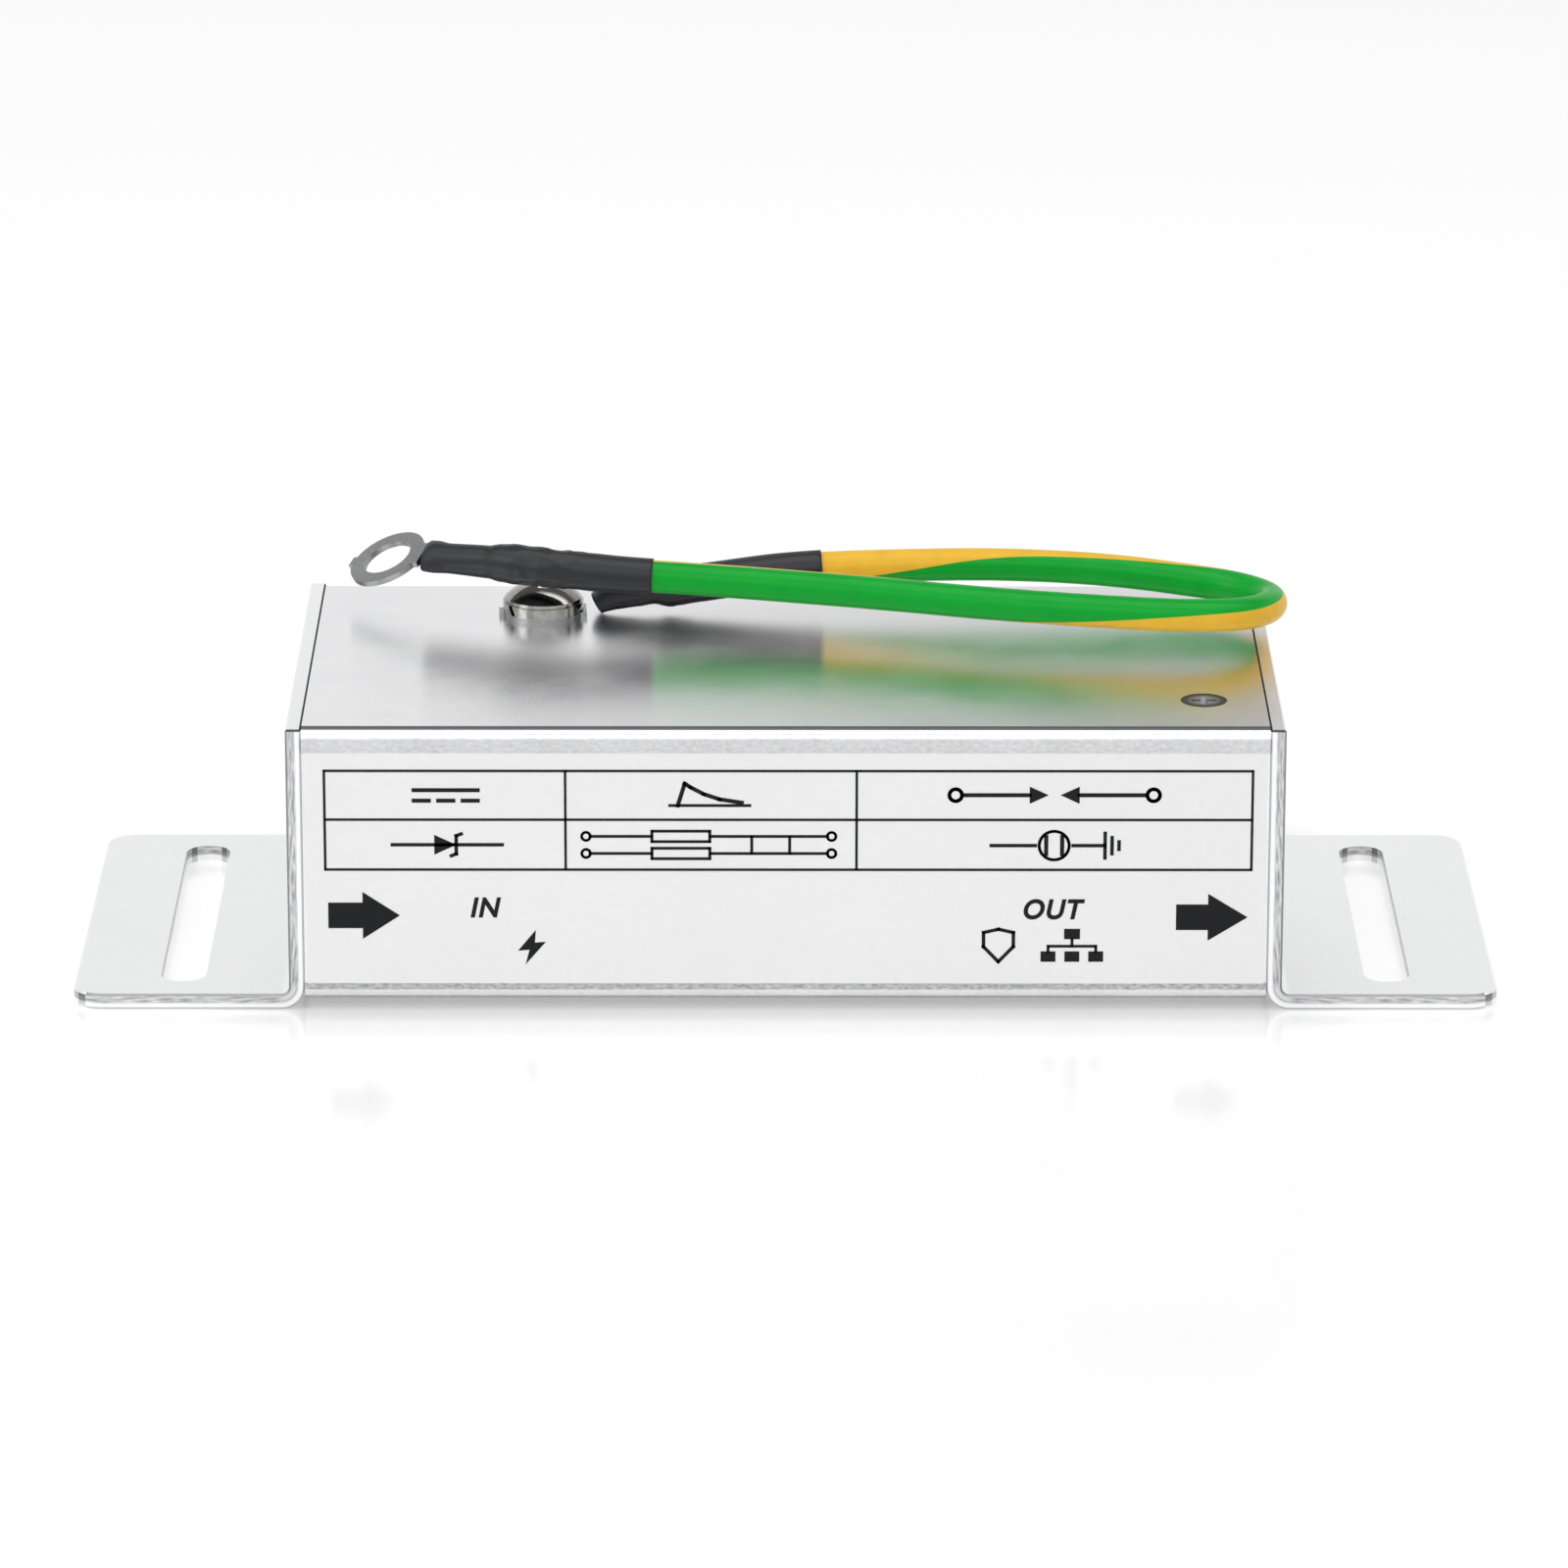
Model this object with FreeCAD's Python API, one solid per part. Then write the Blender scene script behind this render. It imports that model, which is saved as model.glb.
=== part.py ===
import FreeCAD, Part
import math
import os
from FreeCAD import Placement, Rotation, Vector

# Ethernet surge protector. An extruded aluminium tube holds a circuit board with a network
# socket at each end. Two bent end plates close the tube and carry slotted ears, and a short
# earth lead is clamped to the lid by a screw.
# Millimetres. X runs along the tube, Y to the back and Z up. The origin lies midway between
# the ears, on the surface that they stand on.

# Tube
box_length = 100.0          # over the two end walls
tube_depth = 52.0
tube_height = 28.6
tube_wall = 1.5
tube_edge_radius = 1.4
floor_gap = 0.9             # from the ears' underside up to the tube
label_recess = 0.15
label_thickness = 0.12
label_top_margin = 2.4
label_bottom_margin = 1.9
label_end_margin = 0.3

# Screw ports and board grooves inside the tube
port_offset = 2.8           # port centre to the inner faces
port_radius = 2.9
port_bore = 2.6
port_slit = 1.0
port_slit_reach = 3.5
rib_reach = 1.7
rib_thickness = 1.1
groove_play = 0.2

# End plates
plate_thickness = 1.6
bend_radius = 0.8
ear_reach = 21.9
ear_corner_radius = 3.0
plate_edge = 0.2            # broken edge round the sheet's outline
slot_width = 4.6
slot_margin = 4.0           # slot end to the ear's edge
slot_offset = 11.0          # slot centre to the end wall

# Screws in general
recess_share = 0.55         # cross recess against the head
recess_slot_share = 0.13    # one slot of the cross against the head
flat_recess_share = 0.9     # recess depth against a countersunk head's
pan_recess_share = 0.75     # recess depth against a pan head's
screw_tip_share = 0.25      # cone at the tip against the core

# End screws, M3 countersunk
end_screw_head = 5.3
end_screw_core = 2.5
end_screw_length = 9.0
end_screw_hole = 3.2

# Circuit board
board_thickness = 1.6
board_side_play = 0.2
board_end_play = 0.3

# Network sockets
jack_width = 16.0
jack_headroom = 3.7         # from the socket up to the lid
jack_depth = 19.6
jack_proud = 0.4            # past the end plate
jack_play = 0.2             # round the socket in the end plate
shield_thickness = 0.3
insert_play = 0.05          # between shield and insert
insert_recess = 0.2         # from the shield's rim back to the insert
shield_radius = 0.5
mouth_width = 12.0
mouth_share = 8 / 15        # mouth height against the socket's
mouth_roof = 1.7            # plastic above the mouth, measured from the shield
mouth_depth = 12.6
latch_width = 6.2
latch_share = 1 / 9
latch_groove_width = 3.4
latch_groove_share = 1 / 10
insert_depth = 14.0
contact_pitch = 1.02
contact_width = 0.45
contact_thickness = 0.3
contact_slope = 17.0
contact_reach = 7.4
contact_front = 0.9         # from the mouth back to the contacts' fold
contact_fold = (0.35, 0.96) # run back and drop of the fold
contact_bends = (0.6, 0.4, 0.35)
contact_headroom = 0.35
comb_play = 0.08
pin_back = 0.8              # from the insert back to the first row
pin_row_gap = 2.54
pin_tail = 0.9              # past the underside of the board
pin_hole_play = 0.15
stake_width = 1.6
stake_overlap = 1.0
finger_width = 1.6
finger_length = 2.2
finger_rise = 0.15
finger_heights = (0.35, 0.7)   # on the sides, as shares of the height

# Surge parts on the board
tube_body_radius = 2.5
tube_body_length = 8.0
tube_row_share = -0.2       # row place against the box length
tube_count = 4
tube_lead = 0.8
tube_lead_step = 3.5        # middle lead to the outer ones
tube_ceramic_radius = 2.3
tube_cap = 1.0
tube_ring = 1.2
diode_size = (7.0, 6.0, 2.4)
diode_row_share = 0.1
diode_lift = 0.15           # body above the board
diode_chamfer = 0.3
diode_foot = (1.0, 0.5)     # foot under the body and past it
diode_foot_thickness = 0.25
resistor_size = (5.0, 2.5, 0.6)
resistor_row_share = -0.05
resistor_count = 8
resistor_edge = 0.08
board_part_gap = 0.05

# Earth post under the lid, M2.5
post_from_end = 7.8
post_from_front = 10.2
post_flats = 4.2
post_bore = 2.1
board_screw_head = 4.7
board_screw_core = 2.0
board_screw_length = 6.0
lid_hole_play = 0.2
post_hole_play = 0.25
post_screw_head = 4.4
post_screw_head_height = 1.6
post_screw_length = 5.0
post_screw_edge = 0.5

# Ground screw, M4 pan head, with its nut pressed into the lid
screw_from_end = 24.8
screw_from_back = 11.5
nut_collar = 5.4
nut_body = 8.0
nut_height = 3.0
nut_collar_play = 0.03
nut_bore = 4.1
nut_edge = 0.4
nut_collar_gap = 0.1        # from the collar up to the lid's face
ground_screw_core = 3.9
ground_screw_head = 8.0
ground_screw_head_height = 2.1
ground_screw_rim = 0.4
ground_screw_length = 7.5
washer_bore = 4.2
washer_outer = 8.4
washer_thickness = 1.0
washer_slit = 0.5
washer_slit_turn = 130.0
washer_slit_lean = 30.0

# Ring terminals
ring_outer = 8.4
ring_bore = 5.3
ring_thickness = 0.6
ring_nib = (0.4, 1.4)       # length and width of the stamping's cut-off tip
neck_width = 3.4
neck_start = 4.3            # ring centre to the first bend
neck_length = 3.0
barrel_outer = 2.8
barrel_bore = 2.2
barrel_length = 5.0
barrel_lip = 0.1            # the barrel's rim past the neck
neck_inset = 0.06           # the neck's foot inside the tongue
tongue_overlap = 0.2
fixed_angles = (12.0, 7.0)  # neck's underside and barrel against the ring's own plane
fixed_yaw = 3.0
free_angles = (-37.5, -13.1)
free_roll = 25.5

# Earth lead
wire_diameter = 3.4
conductor_diameter = 2.1
strip_gap = 0.8             # bare copper between barrel and insulation
bend_share = 0.45           # of the shorter run, taken by each bend
lead_out = 5.0              # first straight run out of the fixed barrel
sleeve_wall = 0.25
fixed_sleeve_cut = (5.7, 24.0)   # ring centre to the sleeve, and its length
free_sleeve_cut = (4.8, 25.3)
sleeve_play = 0.02
sleeve_bore_overrun = 1.0
lead_points = [             # from the middle of the fixed ring
    (26.4, 1.5, 4.5),
    (36.6, 2.5, 4.6),
    (47.8, 3.4, 4.5),
    (58.6, 2.8, 4.1),
    (66.6, 0.9, 3.6),
    (72.8, -1.5, 3.3),
    (76.1, -6.3, 3.3),
    (73.8, -11.3, 3.5),
    (67.6, -13.1, 3.7),
    (58.6, -11.6, 3.7),
    (46.8, -9.8, 4.0),
    (34.8, -7.5, 4.5),
    (23.0, -5.9, 5.2),
    (13.0, -5.0, 5.8),
    (5.8, -5.0, 6.2),
    (-0.2, -4.2, 6.4),
    (-4.8, -2.1, 6.2),
]

# Worked out from the sizes above
half_box = box_length / 2
tube_length = box_length - 2 * plate_thickness
half_tube = tube_length / 2
half_depth = tube_depth / 2
lid_top = floor_gap + tube_height
lid_under = lid_top - tube_wall
inner_half = half_depth - tube_wall
port_y = inner_half - port_offset
port_low = floor_gap + tube_wall + port_offset
port_high = lid_under - port_offset
groove_bottom = port_low + port_radius + rib_thickness
board_top = groove_bottom + board_thickness
jack_front = half_box + jack_proud
jack_height = lid_under - board_top - jack_headroom
mouth_height = jack_height * mouth_share
latch_height = jack_height * latch_share
latch_groove_height = jack_height * latch_groove_share
mouth_top = board_top + jack_height - shield_thickness - mouth_roof
mouth_bottom = mouth_top - mouth_height
slot_length = tube_depth - 2 * slot_margin
tube_pitch = 2 * inner_half / (tube_count + 1)
tube_row_x = box_length * tube_row_share
diode_row_x = box_length * diode_row_share
resistor_pitch = 2 * inner_half / (resistor_count + 3)
resistor_row_x = box_length * resistor_row_share
post_x = half_box - post_from_end
post_y = post_from_front - half_depth
screw_x = screw_from_end - half_box
screw_y = half_depth - screw_from_back


def block(x0, x1, y0, y1, z0, z1):
    """A box between two corners."""
    return Part.makeBox(x1 - x0, y1 - y0, z1 - z0, Vector(x0, y0, z0))


def rod(radius, length, start, direction):
    """A cylinder from a point along a direction."""
    return Part.makeCylinder(radius, length, Vector(*start), Vector(*direction))


def fuse(shapes):
    """One clean solid from overlapping or touching ones."""
    return shapes[0].fuse(shapes[1:]).removeSplitter()


def mirrored(shape):
    """The same piece at the other end of the tube."""
    return shape.mirror(Vector(0, 0, 0), Vector(1, 0, 0))


def save(node, *solids):
    """Writes the solids of one node."""
    shape = solids[0] if len(solids) == 1 else Part.makeCompound(list(solids))
    shape.exportStep("parts/%s.step" % node)


def cross_recess(size, width, depth):
    """A tapered cross, cut down from z = 0."""
    def arm(angle):
        top = [Vector(-size / 2, 0, 0), Vector(size / 2, 0, 0), Vector(width / 2, 0, -depth)]
        top += [Vector(-width / 2, 0, -depth), Vector(-size / 2, 0, 0)]
        side = Part.Face(Part.makePolygon(top)).extrude(Vector(0, width, 0))
        side.translate(Vector(0, -width / 2, 0))
        return side.rotate(Vector(0, 0, 0), Vector(0, 0, 1), angle)

    return arm(0).fuse(arm(90))


def countersink(head, core, top=0.0):
    """The cone under a flat screw head whose face is at z = top."""
    drop = (head - core) / 2
    return Part.makeCone(core / 2, head / 2, drop, Vector(0, 0, top - drop))


def countersunk_screw(head, core, length):
    """A flat-headed cross-recessed screw, head face at z = 0, pointing down."""
    drop = (head - core) / 2
    taper = core * screw_tip_share
    shank = Part.makeCylinder(core / 2, length - drop - taper, Vector(0, 0, taper - length))
    tip = Part.makeCone(core / 2 - taper, core / 2, taper, Vector(0, 0, -length))
    screw = fuse([countersink(head, core), shank, tip])
    recess = cross_recess(head * recess_share, head * recess_slot_share, drop * flat_recess_share)
    return screw.cut(recess)


def housing_tube():
    """The extrusion: four walls, screw ports, board grooves and a label recess."""
    outer = block(-half_tube, half_tube, -half_depth, half_depth, floor_gap, lid_top)
    long_edges = [e for e in outer.Edges if abs(e.Length - tube_length) < 0.001]
    outer = outer.makeFillet(tube_edge_radius, long_edges)
    inner = block(-half_tube, half_tube, -inner_half, inner_half, floor_gap + tube_wall, lid_under)
    pieces = [outer.cut(inner)]
    cuts = []
    for side in (-1, 1):
        for port_z, up in ((port_low, -1), (port_high, 1)):
            centre = (-half_tube, side * port_y, port_z)
            pieces.append(rod(port_radius, tube_length, centre, (1, 0, 0)))
            cuts.append(rod(port_bore / 2, tube_length, centre, (1, 0, 0)))
            slit = Part.makeBox(tube_length, port_slit, port_slit_reach, Vector(0, -port_slit / 2, 0))
            slit.Placement = Placement(
                Vector(*centre), Rotation(Vector(1, 0, 0), math.degrees(math.atan2(side, -up))))
            cuts.append(slit)
        wall = side * inner_half
        tip = side * (inner_half - rib_reach)
        low, high = min(wall, tip), max(wall, tip)
        top_rib = board_top + groove_play
        pieces.append(block(-half_tube, half_tube, low, high, groove_bottom - rib_thickness, groove_bottom))
        pieces.append(block(-half_tube, half_tube, low, high, top_rib, top_rib + rib_thickness))
    cuts.append(block(-half_tube, half_tube, -half_depth, -half_depth + label_recess,
                      floor_gap + label_bottom_margin, lid_top - label_top_margin))
    cuts.append(rod(nut_collar / 2, tube_wall, (screw_x, screw_y, lid_under), (0, 0, 1)))
    seat = countersink(board_screw_head, board_screw_core + 2 * lid_hole_play, lid_top)
    seat.translate(Vector(post_x, post_y, 0))
    cuts.append(seat)
    cuts.append(rod(board_screw_core / 2 + lid_hole_play, tube_wall, (post_x, post_y, lid_under), (0, 0, 1)))
    return fuse(pieces).cut(cuts)


def outline_edges(plate):
    """The sharp edges round a bent plate: its two profiles, its top and the end of its ear."""
    found = []
    for edge in plate.Edges:
        box = edge.BoundBox
        profile = min(abs(box.YMin - half_depth), abs(box.YMax + half_depth)) < 0.001
        top = box.ZMin > lid_top - 0.001
        ear_end = box.XMin > half_box + ear_reach - ear_corner_radius - 0.001 and box.ZLength < 0.001
        if profile or top or ear_end:
            found.append(edge)
    return found


def end_plate():
    """The plate at the out end: a flat wall, one bend and an ear with a long slot."""
    bend = plate_thickness + bend_radius
    inner_x = half_box - plate_thickness
    ear_x = half_box + ear_reach
    across = math.sqrt(0.5)

    def corner(x, z):
        return Vector(x, -half_depth, z)

    centre_x = half_box + bend_radius
    inside_mid = corner(centre_x - bend_radius * across, bend - bend_radius * across)
    outside_mid = corner(centre_x - bend * across, bend - bend * across)
    edges = [
        Part.LineSegment(corner(inner_x, lid_top), corner(half_box, lid_top)).toShape(),
        Part.LineSegment(corner(half_box, lid_top), corner(half_box, bend)).toShape(),
        Part.Arc(corner(half_box, bend), inside_mid, corner(centre_x, plate_thickness)).toShape(),
        Part.LineSegment(corner(centre_x, plate_thickness), corner(ear_x, plate_thickness)).toShape(),
        Part.LineSegment(corner(ear_x, plate_thickness), corner(ear_x, 0)).toShape(),
        Part.LineSegment(corner(ear_x, 0), corner(centre_x, 0)).toShape(),
        Part.Arc(corner(centre_x, 0), outside_mid, corner(inner_x, bend)).toShape(),
        Part.LineSegment(corner(inner_x, bend), corner(inner_x, lid_top)).toShape(),
    ]
    plate = Part.Face(Part.Wire(edges)).extrude(Vector(0, tube_depth, 0))
    ear_corners = [e for e in plate.Edges
                   if abs(e.CenterOfMass.x - ear_x) < 0.001 and abs(e.Length - plate_thickness) < 0.001]
    plate = plate.makeFillet(ear_corner_radius, ear_corners)
    plate = plate.makeChamfer(plate_edge, outline_edges(plate))
    slot_x = half_box + slot_offset
    half_slot = (slot_length - slot_width) / 2
    slot_edge = slot_width / 2
    cuts = [block(slot_x - slot_edge, slot_x + slot_edge, -half_slot, half_slot, 0, plate_thickness)]
    for side in (-1, 1):
        cuts.append(rod(slot_edge, plate_thickness, (slot_x, side * half_slot, 0), (0, 0, 1)))
        for port_z in (port_low, port_high):
            cuts.append(rod(end_screw_hole / 2, plate_thickness, (inner_x, side * port_y, port_z), (1, 0, 0)))
            seat = countersink(end_screw_head, end_screw_hole)
            seat.Placement = Placement(
                Vector(half_box, side * port_y, port_z), Rotation(Vector(0, 1, 0), 90))
            cuts.append(seat)
    cuts.append(block(inner_x, half_box, -jack_width / 2 - jack_play, jack_width / 2 + jack_play,
                      board_top - jack_play, board_top + jack_height + jack_play))
    for cut in cuts:
        plate = plate.cut(cut)
    return plate


def end_screws():
    """Four countersunk screws through the out plate into the ports."""
    screws = []
    for side in (-1, 1):
        for port_z in (port_low, port_high):
            screw = countersunk_screw(end_screw_head, end_screw_core, end_screw_length)
            screw.Placement = Placement(
                Vector(half_box, side * port_y, port_z), Rotation(Vector(0, 1, 0), 90))
            screws.append(screw)
    return screws


def front_label():
    """A thin printed film in the recess of the front wall."""
    half_label = half_tube - label_end_margin
    bottom = floor_gap + label_bottom_margin
    top = lid_top - label_top_margin
    back = -half_depth + label_recess
    return block(-half_label, half_label, back - label_thickness, back, bottom, top)


def circuit_board():
    """The board that slides in the grooves, drilled for the sockets, leads and post."""
    half_width = inner_half - board_side_play
    half_length = half_tube - board_end_play
    board = block(-half_length, half_length, -half_width, half_width, groove_bottom, board_top)
    drilled = [(x, y, tube_lead / 2 + pin_hole_play) for x, y in tube_lead_places()]
    drilled.append((post_x, post_y, post_bore / 2 + post_hole_play))
    for end in (-1, 1):
        for x, y in pin_places():
            drilled.append((end * x, y, contact_width / 2 + pin_hole_play))
        for side in (-1, 1):
            x, y = stake_place(side)
            drilled.append((end * x, y, stake_width / 2 + pin_hole_play))
    holes = [rod(radius, board_thickness, (x, y, groove_bottom), (0, 0, 1)) for x, y, radius in drilled]
    return board.cut(Part.makeCompound(holes))


def stake_place(side):
    """Where a shield's stake goes through the board, at the out end."""
    return jack_front - insert_depth / 2, side * (jack_width / 2 - shield_thickness / 2)


def pin_places():
    """Where the eight contacts go through the board, at the out end, in two rows."""
    places = []
    for index in range(8):
        x = jack_front - insert_depth - pin_back - (index % 2) * pin_row_gap
        places.append((x, (index - 3.5) * contact_pitch))
    return places


def jack_shield():
    """The folded tin-plated box round the out socket, open at the mouth and underneath."""
    half = jack_width / 2
    back = jack_front - jack_depth
    top = board_top + jack_height
    shell = block(back, jack_front, -half, half, board_top, top)
    long_edges = [e for e in shell.Edges if abs(e.Length - jack_depth) < 0.001]
    top_edges = [e for e in long_edges if e.CenterOfMass.z > top - 0.001]
    shell = shell.makeFillet(shield_radius, top_edges)
    hollow = block(back + shield_thickness, jack_front, -half + shield_thickness, half - shield_thickness,
                   board_top, top - shield_thickness)
    pieces = [shell.cut(hollow)]
    finger_x = half_box - plate_thickness / 2
    for side in (-1, 1):
        x = stake_place(side)[0]
        outside = side * half
        inside = outside - side * shield_thickness
        tail = groove_bottom - pin_tail
        low, high = min(inside, outside), max(inside, outside)
        half_stake = stake_width / 2
        pieces.append(block(x - half_stake, x + half_stake, low, high, tail, board_top + stake_overlap))
        for share in finger_heights:
            place = Vector(finger_x, outside, board_top + jack_height * share)
            bump = finger_bump()
            bump.Placement = Placement(place, Rotation(Vector(1, 0, 0), -90 * side))
            pieces.append(bump)
        bump = finger_bump()
        bump.Placement = Placement(Vector(finger_x, side * jack_width / 4, top), Rotation())
        pieces.append(bump)
    return fuse(pieces)


def finger_bump():
    """A spring finger's bowed back, that presses on the edge of the end plate."""
    start = Vector(-finger_length / 2, -finger_width / 2, 0)
    middle = Vector(0, -finger_width / 2, finger_rise)
    end = Vector(finger_length / 2, -finger_width / 2, 0)
    deep = Vector(0, 0, -shield_thickness / 2)
    edges = [
        Part.Arc(start, middle, end).toShape(),
        Part.LineSegment(end, end + deep).toShape(),
        Part.LineSegment(end + deep, start + deep).toShape(),
        Part.LineSegment(start + deep, start).toShape(),
    ]
    return Part.Face(Part.Wire(edges)).extrude(Vector(0, finger_width, 0))


def jack_insert():
    """The moulded block of the out socket: mouth, latch step, key groove and contact combs."""
    side = jack_width / 2 - shield_thickness - insert_play
    back = jack_front - insert_depth
    roof = board_top + jack_height - shield_thickness - insert_play
    front = jack_front - insert_recess
    body = block(back, front, -side, side, board_top, roof)
    deep = jack_front - mouth_depth
    step = mouth_bottom - latch_height
    cuts = [
        block(deep, front, -mouth_width / 2, mouth_width / 2, mouth_bottom, mouth_top),
        block(deep, front, -latch_width / 2, latch_width / 2, step, mouth_bottom),
        block(deep, front, -latch_groove_width / 2, latch_groove_width / 2, step - latch_groove_height, step),
    ]
    comb_top = contact_level() + contact_thickness / 2 + comb_play
    comb_front = jack_front - contact_front + contact_thickness / 2 + comb_play
    for _, y in pin_places():
        half = contact_width / 2 + comb_play
        cuts.append(block(back, comb_front, y - half, y + half, mouth_top, comb_top))
        cuts.append(block(back, deep, y - half, y + half,
                          comb_top - contact_thickness - 2 * comb_play, comb_top))
    return body.cut(Part.makeCompound(cuts[:3])).cut(Part.makeCompound(cuts[3:]))


def contact_level():
    """The height of the contacts' straight run, in the combs above the mouth."""
    return mouth_top + contact_thickness / 2 + contact_headroom


def strip_along(points, radii, width):
    """A flat strip of the contacts' thickness, bent through points in the XZ plane."""
    edges = []
    last = points[0]
    for index in range(1, len(points) - 1):
        corner = points[index]
        back = (points[index - 1] - corner).normalize()
        ahead = (points[index + 1] - corner).normalize()
        half_turn = (math.pi - back.getAngle(ahead)) / 2
        radius = radii[index - 1]
        cut = radius * math.tan(half_turn)
        start = corner + back * cut
        end = corner + ahead * cut
        inward = (back + ahead).normalize()
        centre = corner + inward * (radius / math.cos(half_turn))
        edges.append(Part.LineSegment(last, start).toShape())
        edges.append(Part.Arc(start, centre - inward * radius, end).toShape())
        last = end
    edges.append(Part.LineSegment(last, points[-1]).toShape())
    path = Part.Wire(edges)
    heading = (points[1] - points[0]).normalize()
    sideways = Vector(0, 1, 0)
    normal = heading.cross(sideways)
    corners = []
    for a, b in ((-1, -1), (1, -1), (1, 1), (-1, 1), (-1, -1)):
        corners.append(points[0] + sideways * (a * width / 2) + normal * (b * contact_thickness / 2))
    return path.makePipeShell([Part.makePolygon(corners)], True, True)


def jack_contacts():
    """Eight gilt spring contacts of the out socket, each from the board into the mouth."""
    slope = math.radians(contact_slope)
    fold_x = jack_front - contact_front
    level = contact_level()
    contacts = []
    for x, y in pin_places():
        nose = Vector(fold_x, y, level)
        low = nose - Vector(contact_fold[0], 0, contact_fold[1])
        tip = low + Vector(-contact_reach * math.cos(slope), 0, -contact_reach * math.sin(slope))
        points = [Vector(x, y, groove_bottom - pin_tail), Vector(x, y, level), nose, low, tip]
        contacts.append(strip_along(points, contact_bends, contact_width))
    return contacts


def tube_lead_places():
    """Where the three leads of each gas tube go through the board."""
    places = []
    for index in range(tube_count):
        for step in (-1, 0, 1):
            places.append((tube_row_x + step * tube_lead_step, (index - (tube_count - 1) / 2) * tube_pitch))
    return places


def gas_tube(index):
    """A three-pole gas tube: two end caps, a middle ring, two ceramic sleeves, three leads."""
    radius = tube_body_radius
    centre_y = (index - (tube_count - 1) / 2) * tube_pitch
    centre_z = board_top + board_part_gap + radius
    start = tube_row_x - tube_body_length / 2
    inside = (start + tube_cap / 2, centre_y, centre_z)
    pieces = [rod(tube_ceramic_radius, tube_body_length - tube_cap, inside, (1, 0, 0))]
    middle = (tube_body_length - tube_ring) / 2
    for offset, length in ((0, tube_cap), (middle, tube_ring), (tube_body_length - tube_cap, tube_cap)):
        pieces.append(rod(radius, length, (start + offset, centre_y, centre_z), (1, 0, 0)))
    for x, y in tube_lead_places()[index * 3:index * 3 + 3]:
        bottom = groove_bottom - pin_tail
        pieces.append(rod(tube_lead / 2, centre_z - bottom, (x, y, bottom), (0, 0, 1)))
    return fuse(pieces)


def clamp_diode(index):
    """A surface-mounted clamping diode: moulded body with two folded feet."""
    length, width, height = diode_size
    y = (index - (tube_count - 1) / 2) * tube_pitch
    low = board_top + diode_lift
    body = block(diode_row_x - length / 2, diode_row_x + length / 2, y - width / 2, y + width / 2,
                 low, board_top + height)
    top_edges = [e for e in body.Edges if e.CenterOfMass.z > board_top + height - 0.001]
    pieces = [body.makeChamfer(diode_chamfer, top_edges)]
    for end in (-1, 1):
        wall = diode_row_x + end * length / 2
        inside = wall - end * diode_foot[0]
        outside = wall + end * diode_foot[1]
        rise = wall + end * diode_foot_thickness
        pieces.append(block(min(inside, outside), max(inside, outside), y - width / 4, y + width / 4,
                            board_top, board_top + diode_foot_thickness))
        pieces.append(block(min(wall, rise), max(wall, rise), y - width / 4, y + width / 4,
                            board_top, board_top + height / 2))
    return fuse(pieces)


def series_resistor(index):
    """A chip resistor between the coarse and the fine stage."""
    length, width, height = resistor_size
    y = (index - (resistor_count - 1) / 2) * resistor_pitch
    chip = block(resistor_row_x - length / 2, resistor_row_x + length / 2, y - width / 2, y + width / 2,
                 board_top, board_top + height)
    top_edges = [e for e in chip.Edges if e.CenterOfMass.z > board_top + height - 0.001]
    return chip.makeChamfer(resistor_edge, top_edges)


def earth_post():
    """The hexagonal post that joins the board's earth to the lid."""
    height = lid_under - board_top
    corner = post_flats / math.sqrt(3)
    points = []
    for index in range(7):
        angle = math.radians(60 * index)
        points.append(Vector(post_x + corner * math.cos(angle), post_y + corner * math.sin(angle), board_top))
    post = Part.Face(Part.makePolygon(points)).extrude(Vector(0, 0, height))
    return post.cut(rod(post_bore / 2, height, (post_x, post_y, board_top), (0, 0, 1)))


def board_screw():
    """The small dark countersunk screw through the lid into the post."""
    screw = countersunk_screw(board_screw_head, board_screw_core, board_screw_length)
    screw.translate(Vector(post_x, post_y, lid_top))
    return screw


def post_screw():
    """The pan-head screw that holds the post, from under the board."""
    head = rod(post_screw_head / 2, post_screw_head_height, (0, 0, -post_screw_head_height), (0, 0, 1))
    foot = [e for e in head.Edges if e.CenterOfMass.z < 0.001 - post_screw_head_height]
    head = head.makeFillet(post_screw_edge, foot)
    shank = rod(board_screw_core / 2, post_screw_length, (0, 0, 0), (0, 0, 1))
    screw = fuse([head, shank])
    screw.translate(Vector(post_x, post_y, groove_bottom))
    return screw


def clinch_nut():
    """The nut pressed into the lid from inside, its collar in the hole."""
    body = rod(nut_body / 2, nut_height, (screw_x, screw_y, lid_under - nut_height), (0, 0, 1))
    foot = [e for e in body.Edges if e.CenterOfMass.z < lid_under - nut_height + 0.001]
    body = body.makeChamfer(nut_edge, foot)
    collar_height = tube_wall - nut_collar_gap
    collar = rod(nut_collar / 2 - nut_collar_play, collar_height, (screw_x, screw_y, lid_under), (0, 0, 1))
    bore = rod(nut_bore / 2, nut_height + tube_wall, (screw_x, screw_y, lid_under - nut_height), (0, 0, 1))
    return fuse([body, collar]).cut(bore)


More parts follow.
